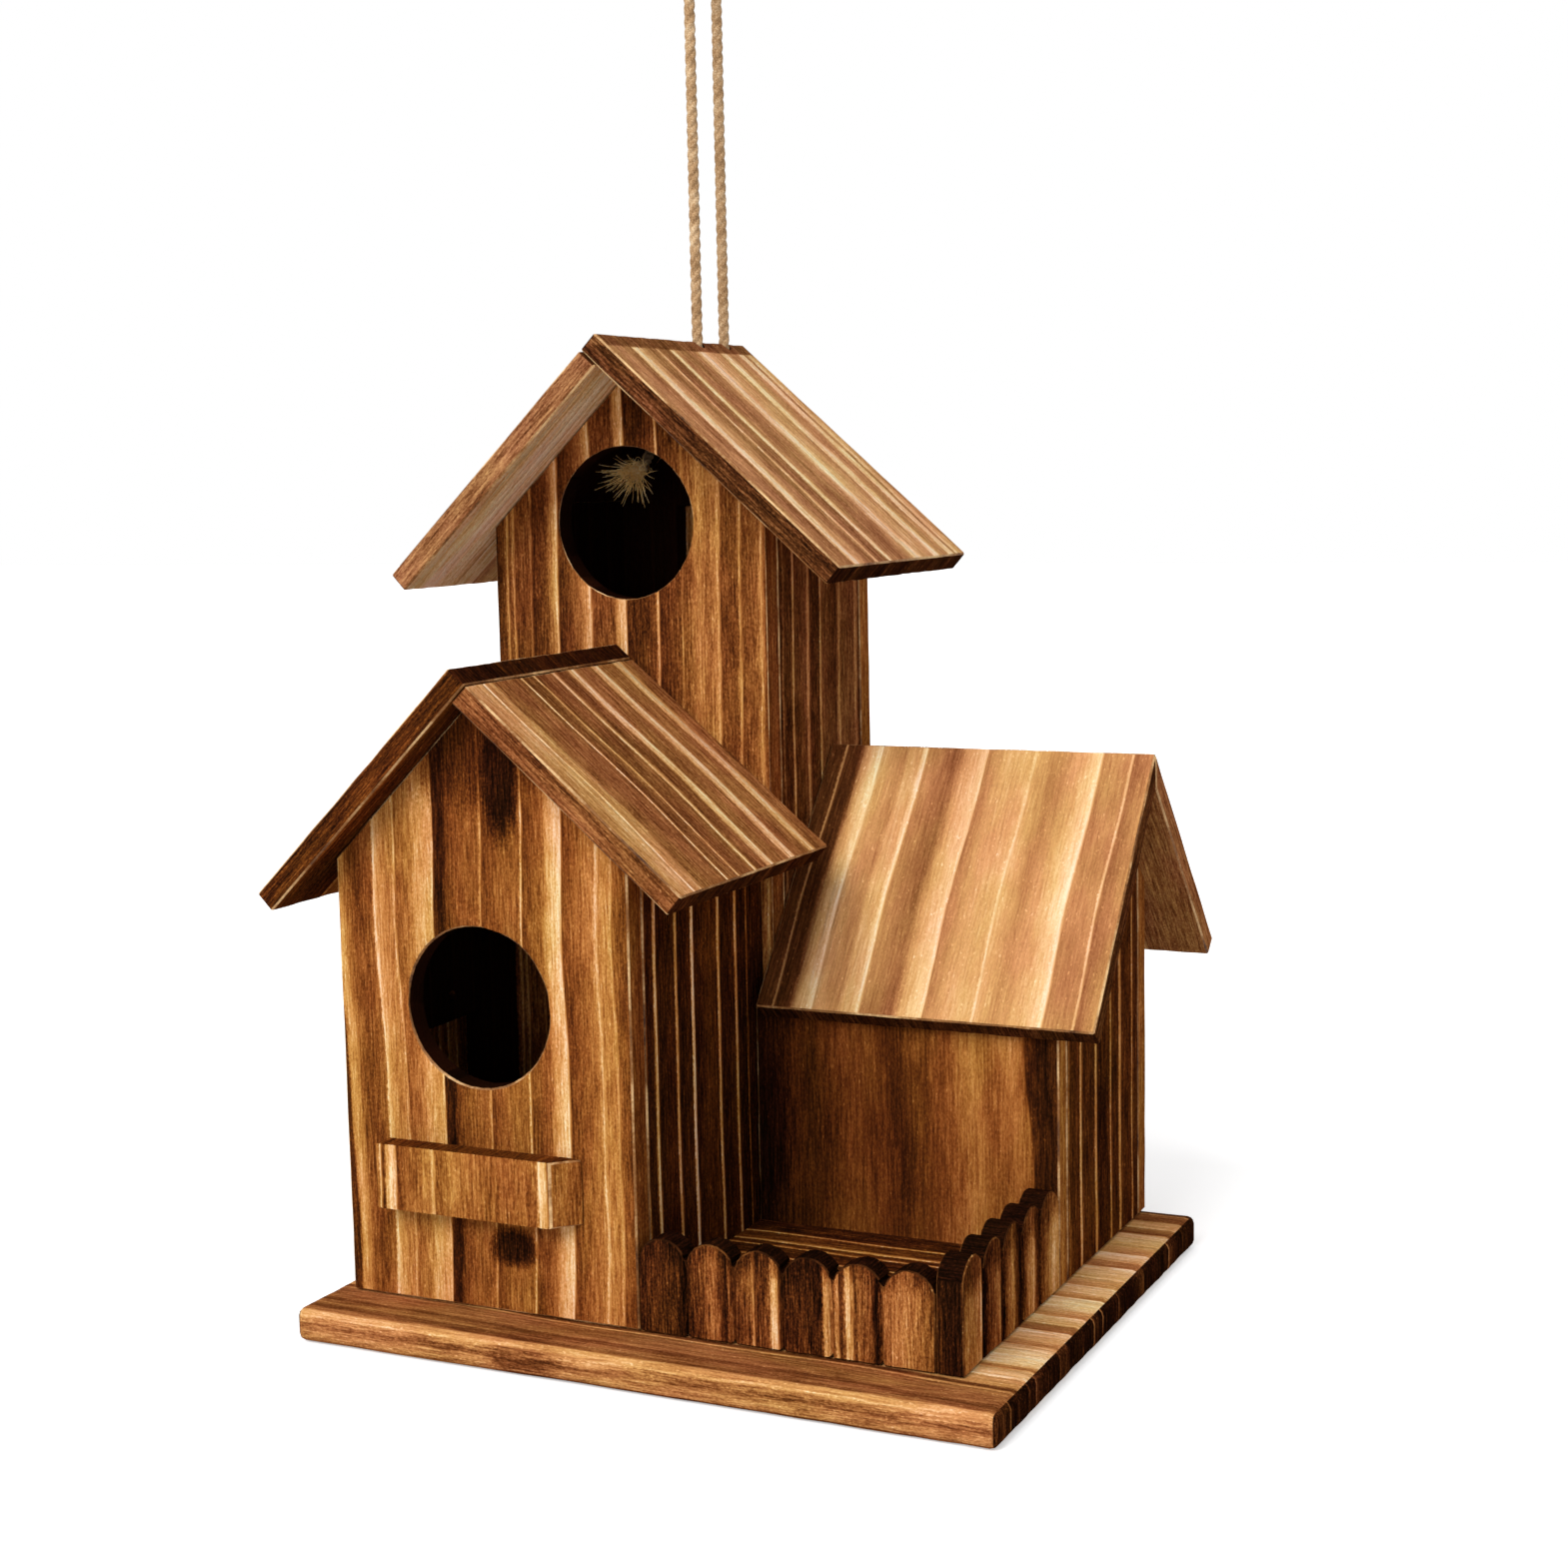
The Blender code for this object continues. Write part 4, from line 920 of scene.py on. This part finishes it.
# Side house: a smooth stained front board behind the porch, a striped gable wall on the right, and a
# back wall.
smooth_tones = {
    0: char, 8: soot, 15: umber, 24: umber, 34: brown, 46: brown, 54: umber, 60: brown, 66: brown,
    74: chestnut, 82: amber, 88: chestnut, 96: amber, 100.6: chestnut, 101.2: umber, 108: soot,
    110.8: umber}
# This wall faces away from the key light: its dark ground and soot edges are partly its own tone, partly
# painted shade.
gable_dark_and_shaded_lines = {
    0: umber, 1.4: brown, 2.4: chestnut, 3.6: umber, 13: umber, 14.2: honey, 15.4: honey, 16.4: umber,
    29.4: umber, 30.8: honey, 32: amber, 33.2: soot, 46.6: umber, 48: honey, 49.2: umber, 56.6: umber,
    58: honey, 59.6: amber, 60.6: umber, 71.6: umber, 73: honey, 74.2: umber, 79: umber}
side_cell = (Vector((0.0056, 0.0064, 0.0118)), Vector((0.1047, 0.0785, 0.1750)))
brushed_board("side_house_front_wall", "X", smooth_tones, wave=0.0015, grain_strength=0.7,
              end_tone=soot)
brushed_board("side_house_gable_wall", "Y", gable_dark_and_shaded_lines, end_tone=soot, edge_tone=umber,
              cell=side_cell)
brushed_board("side_house_back_wall", "X", plain_stripes, cell=side_cell)

# Roof boards: six boards with the grain down the slope. The pairs lap at the ridge, where the upper
# board's burnt end shows as a dark strip, and the side house's pair is mitred.
front_roof_stripes = {
    0: amber, 6: honey, 9.6: honey, 10.4: straw, 11: amber, 15.6: honey, 16.2: chestnut, 24: chestnut,
    33: chestnut, 33.6: straw, 34.4: brown, 41: chestnut, 41.6: pale, 42.4: brown, 52.6: chestnut,
    53.8: straw, 54.8: amber, 56: brown, 62.6: chestnut, 64: honey, 67.2: straw, 68: chestnut,
    78.4: chestnut, 80.4: honey, 84: straw, 84.8: chestnut, 94.6: chestnut, 96.4: honey, 99.6: straw,
    100.4: amber, 102: chestnut, 109: chestnut}
tower_roof_stripes = {
    0: amber, 6: amber, 14: chestnut, 15.6: pale, 18.6: straw, 20.6: honey, 30: chestnut, 33: amber,
    34.4: pale, 35.6: chestnut, 43: chestnut, 44.8: straw, 46.6: pale, 47.6: amber, 56: chestnut,
    64: amber, 67.6: pale, 70.6: straw, 72.6: honey, 84: amber, 86.4: pale, 90: pale, 92: amber, 99: amber,
    101.4: pale, 104: pale, 106: chestnut, 108.4: pale, 110: honey, 113.8: amber}
side_roof_stripes = {
    0: umber, 5.8: umber, 6.4: pale, 7.1: umber, 12.4: umber, 14: amber, 16: honey, 19.8: pale,
    20.6: straw, 21.4: honey, 30: amber, 32: honey, 36: honey, 38: straw, 38.8: amber, 50: chestnut,
    54: honey, 60.8: pale, 61.4: straw, 62: amber, 70: honey, 79: honey, 79.6: straw, 80.3: honey,
    88: amber, 96: honey, 102.6: pale, 104: straw, 104.8: amber, 114.6: amber, 115.2: straw, 116: chestnut,
    122: amber}
left_eave_stripes = {
    0: chestnut, 4: umber, 9: umber, 12: umber, 20: umber, 27: umber, 28: honey, 29: chestnut,
    40: chestnut, 41: pale, 42: brown, 52: amber, 60: brown, 61: straw, 62: chestnut, 74: umber, 75: honey,
    76: brown, 88: umber}
tower_left_stripes = {
    0: pale, 4: pale, 5: straw, 6: honey, 9: pale, 10: straw, 11: pale, 17: straw, 18: straw, 19: pale,
    26: pale, 33: honey, 34: straw, 35: pale, 43: pale, 44: straw, 45: amber, 56: honey, 57: pale,
    58: amber, 70: amber, 71: pale, 72: brown, 84: chestnut, 85.4: straw, 86.4: amber, 97: honey, 98: pale,
    99: brown, 115: chestnut}
ridge_band = ((-0.046, 0.03, 0.3362), (2.0, 2.0, 0.0054), 0.93, 0.10, brown)
brushed_board("front_house_roof_right", "Y", front_roof_stripes, wave=0.0009, tan_and_sheen=0.4,
              edge_tone=brown, end_tone=soot, cell=front_cell)
brushed_board("tower_roof_right", "Y", tower_roof_stripes, lean=0.004, wave=0.0009, tan_and_sheen=0.8,
              edge_tone=umber, end_tone=char, marks=(ridge_band,), cell=tower_cell)
brushed_board("side_house_roof_front", "X", side_roof_stripes, wave=0.0006, tan_and_sheen=0.6,
              edge_tone=umber, end_tone=soot, grain_strength=0.45, cell=side_cell)
brushed_board("front_house_roof_left", "Y", left_eave_stripes, edge_tone=umber,
              end_tone=soot, cell=front_cell)
brushed_board("tower_roof_left", "Y", tower_left_stripes, tan_and_sheen=0.9, edge_tone=chestnut,
              end_tone=soot, cell=tower_cell)
brushed_board("side_house_roof_back", "X", striped_by_chance(amber, brown, pale), tan_and_sheen=0.5,
              edge_tone=chestnut, end_tone=soot)

# Perch block: a short thick ledge under the front entrance, mitred at its right end. It is cut across
# a striped board, so that its grain stands upright like the wall's.
perch_stripes = {
    0: chestnut, 1.4: chestnut, 2.0: straw, 2.8: brown, 3.6: umber, 4.4: honey, 6: pale, 8: pale,
    8.8: brown, 13: chestnut, 17.6: chestnut, 19: amber, 21.6: amber, 22.8: pale, 23.8: chestnut,
    30: amber, 44: chestnut, 55: chestnut, 62.4: chestnut, 63.4: pale, 66: honey, 67: brown, 75.3: brown}
brushed_board("perch_block", "X", perch_stripes, edge_tone=chestnut, end_tone=brown,
              mitred=True)

# Porch: a raised striped floor board and two fences, each one board with its top sawn into scallops and
# a groove run down below every notch, so that it looks like a row of pickets. The torch burnt the tops.
front_fence_stripes = {
    0: soot, 7: umber, 14.6: soot, 15.4: char, 17: char, 20: umber, 22: umber, 27: chestnut, 30: umber,
    31.6: char, 32.4: brown, 34: umber, 40.2: brown, 41: honey, 41.8: umber, 46.6: brown, 47.6: pale,
    49.4: honey, 50.6: soot, 58: umber, 64.8: soot, 65.6: honey, 67.4: amber, 68.6: brown, 70.4: honey,
    71: umber, 72.4: brown, 73.2: pale, 75.2: amber, 76: umber, 77.4: chestnut, 78.2: brown, 81.6: brown,
    83.4: char, 85.6: chestnut, 92: amber, 99: chestnut, 101.7: brown}
side_fence_stripes = {
    0: brown, 3: amber, 5: chestnut, 14: amber, 15.4: pale, 16.4: char, 19: char, 21: umber, 30: chestnut,
    32: amber, 33.4: char, 36: soot, 38: brown, 44: amber, 46: brown, 51: char, 53.6: umber, 58: chestnut,
    64: honey, 66: brown, 69.6: char, 71: umber, 78: chestnut, 84: honey, 88.5: amber}
fence_tops = (((0.05, -0.0955, 0.0475), (2.0, 2.0, 0.0060), 0.4, 1.2, char),)
brushed_board("porch_floor", "Y", striped_by_chance(brown, soot, honey, 7.0))
for fence_name, fence_across, fence_stripes, fence_edge_tone, pickets in (
        ("front_fence", "X", front_fence_stripes, brown, 6),
        ("side_fence", "Y", side_fence_stripes, soot, 5)):
    fence_millimetres = max(fence_stripes)
    brushed_board(fence_name, fence_across, fence_stripes, wave=0.0002,
                  edge_tone=fence_edge_tone, tan_and_sheen=0.1, grain_strength=1.3, end_tone=char, end_contrast=0.1,
                  marks=fence_tops, edge_wear=scorched_edge,
                  deep_grooves=[fence_millimetres / pickets * notch for notch in range(1, pickets)])

# Clean-out doors: a small striped cover behind the tower and one on the front house's left side. Each
# swivels on its own body.
for door_name, door_across, door_body in (("tower_cleanout_door", "X", "tower_door"),
                                          ("front_house_cleanout_door", "Y", "front_house_door")):
    brushed_board(door_name, door_across, striped_by_chance(amber, brown, pale, 9.0),
                  body=door_body, end_tone=soot)

# Screws: zinc-plated steel with a cross recess, two pan heads that carry the doors and eight countersunk
# ones from below. Each is turned as one solid and its recess is pressed in.
zinc_patch_scale, zinc_grain_scale, zinc_bump = 900, 2600, 0.0001
screw_sides = 48
recess_arm_width, recess_arm_reach, recess_taper, recess_mouth = 0.24, 0.56, 0.45, 1.2
pan_head, pan_recess = 0.0021, 0.0013
countersunk_head, countersunk_recess = 0.0025, 0.0014
pan_profile = [(0.42, 0.97), (0.70, 0.86), (0.88, 0.66), (0.97, 0.42), (1.0, 0.20), (1.0, 0.0)]
countersunk_profile = [(0.98, 1.0), (1.0, 0.97), (1.0, 0.84), (0.47, 0.0)]
head_rim_share, shank_shares = 0.9, (0.3, 0.6)
thread_pitch, thread_depth, thread_steps = 0.0012, 0.00028, 12
neck_share, thread_start_share, thread_rows_share, blunt_tip = 0.02, 0.04, 0.8, 0.12


def zinc_plate():
    """Dull bright metal with faint patches."""
    material, shader = new_material("zinc_plate", roughness=0.35)
    place = object_place(material)
    shader.inputs["Metallic"].default_value = 1.0
    patches = noise_at(place, zinc_patch_scale, 3)
    feed(shader.inputs["Base Color"], ramp(patches, [(0.35, colour("#8f8b84")), (0.7, colour("#c9c6bf"))]))
    bump(shader, noise_at(place, zinc_grain_scale), zinc_bump)
    return material


steel = zinc_plate()


def turned(base, ahead, over, side, profile, shank_radius, shank_length):
    """Corners and faces of a screw from its top down; profile holds the head's radii and heights."""
    around = spokes(over, side, screw_sides)
    corners = [base + ahead * profile[0][1]]
    for radius, height in profile[1:] + [(shank_radius, -shank_length * neck_share)]:
        corners += [base + ahead * height + outward * radius for _, outward in around]
    threads = int(shank_length * thread_rows_share / thread_pitch) * thread_steps
    for step in range(threads + 1):
        height = -shank_length * thread_start_share
        height -= shank_length * (1 - thread_start_share) * step / threads
        point = min(1.0, (shank_length + height) / (2 * shank_radius) + blunt_tip)
        for angle, outward in around:
            wind = (-height / thread_pitch - angle / (2 * math.pi)) % 1
            crest = max(0.0, 1 - 4 * abs(wind - 0.5))
            radius = (shank_radius - thread_depth * (1 - crest)) * point
            corners.append(base + ahead * height + outward * radius)
    faces = [(0, 1 + corner, 1 + (corner + 1) % screw_sides) for corner in range(screw_sides)]
    faces += [(first, fourth, third, second) for first, second, third, fourth
              in ring_faces((len(corners) - 1) // screw_sides, screw_sides, 1)]
    return corners, faces + [tuple(range(len(corners) - screw_sides, len(corners)))]


def cross(base, ahead, over, side, head_radius, head_height, recess_depth):
    """Corners and faces of the two tapered bars that press a cross into a screw's head."""
    half_arm = recess_arm_width * head_radius / 2
    corners, faces = [], []
    for long_side, short_side in ((over, side), (side, over)):
        first = len(corners)
        for height, share in ((head_height - recess_depth, recess_taper), (head_height * recess_mouth, 1.0)):
            reach = recess_arm_reach * head_radius * share
            corners += [base + ahead * height + long_side * reach * long_sign
                        + short_side * half_arm * short_sign
                        for long_sign, short_sign in ((-1, -1), (1, -1), (1, 1), (-1, 1))]
        faces += [tuple(range(first, first + 4)), tuple(range(first + 4, first + 8))]
        faces += ring_faces(2, 4, first)
    return corners, faces


def outward_piece(name, shape):
    """A closed piece made of corners and faces, with all its faces turned outward."""
    piece = new_piece(name, *shape)
    solid = bmesh.new()
    solid.from_mesh(piece.data)
    bmesh.ops.recalc_face_normals(solid, faces=solid.faces[:])
    solid.to_mesh(piece.data)
    solid.free()
    return piece


def cross_headed_screw(name, head_profile, head_height, recess_depth):
    """A screw in the place of a CAD node: turned head, threaded shank and a tapered cross recess."""
    corners = np.array([tuple(corner.co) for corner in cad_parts[name].data.vertices])
    low_corner, high_corner = corners.min(axis=0), corners.max(axis=0)
    long_axis = int(np.argmax(high_corner - low_corner))
    length = high_corner[long_axis] - low_corner[long_axis]
    centre = (low_corner + high_corner) / 2
    away = corners - centre
    away[:, long_axis] = 0
    wide = np.linalg.norm(away, axis=1)
    head_radius = wide.max()
    head_ahead = corners[wide > head_rim_share * head_radius][:, long_axis].mean() > centre[long_axis]
    thinnest, thickest = (share * head_radius for share in shank_shares)
    shank_radius = np.median(wide[(wide > thinnest) & (wide < thickest)])
    ahead, over = [Vector([float(axis == (long_axis + turn) % 3) for axis in range(3)]) for turn in (0, 1)]
    ahead = ahead if head_ahead else -ahead
    side = over.cross(ahead)
    base = Vector(centre) + ahead * (length / 2 - head_height)
    profile = [(share * head_radius, height * head_height) for share, height in [(0.0, 1.0)] + head_profile]
    screw = outward_piece(name + "_turned", turned(base, ahead, over, side, profile, shank_radius,
                                                   length - head_height))
    recess = outward_piece(name + "_recess", cross(base, ahead, over, side, head_radius, head_height,
                                                   recess_depth))
    pressing = screw.modifiers.new("recess", "BOOLEAN")
    pressing.object = recess
    pressing.operation = "DIFFERENCE"
    pressing.solver = "EXACT"
    pressing.use_self = True
    finished = bpy.data.meshes.new_from_object(screw.evaluated_get(bpy.context.evaluated_depsgraph_get()))
    screw.modifiers.clear()
    screw.data = finished
    bpy.data.objects.remove(recess)
    finished.materials.clear()
    finished.materials.append(steel)
    finished.shade_smooth()
    finished.set_sharp_from_angle(angle=sharp_angle)
    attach(screw, "house")
    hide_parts(name)


for screw_name in ("tower_door_screw", "front_house_door_screw"):
    cross_headed_screw(screw_name, pan_profile, pan_head, pan_recess)
for number in range(1, 9):
    cross_headed_screw(f"base_screw_{number}", countersunk_profile, countersunk_head, countersunk_recess)
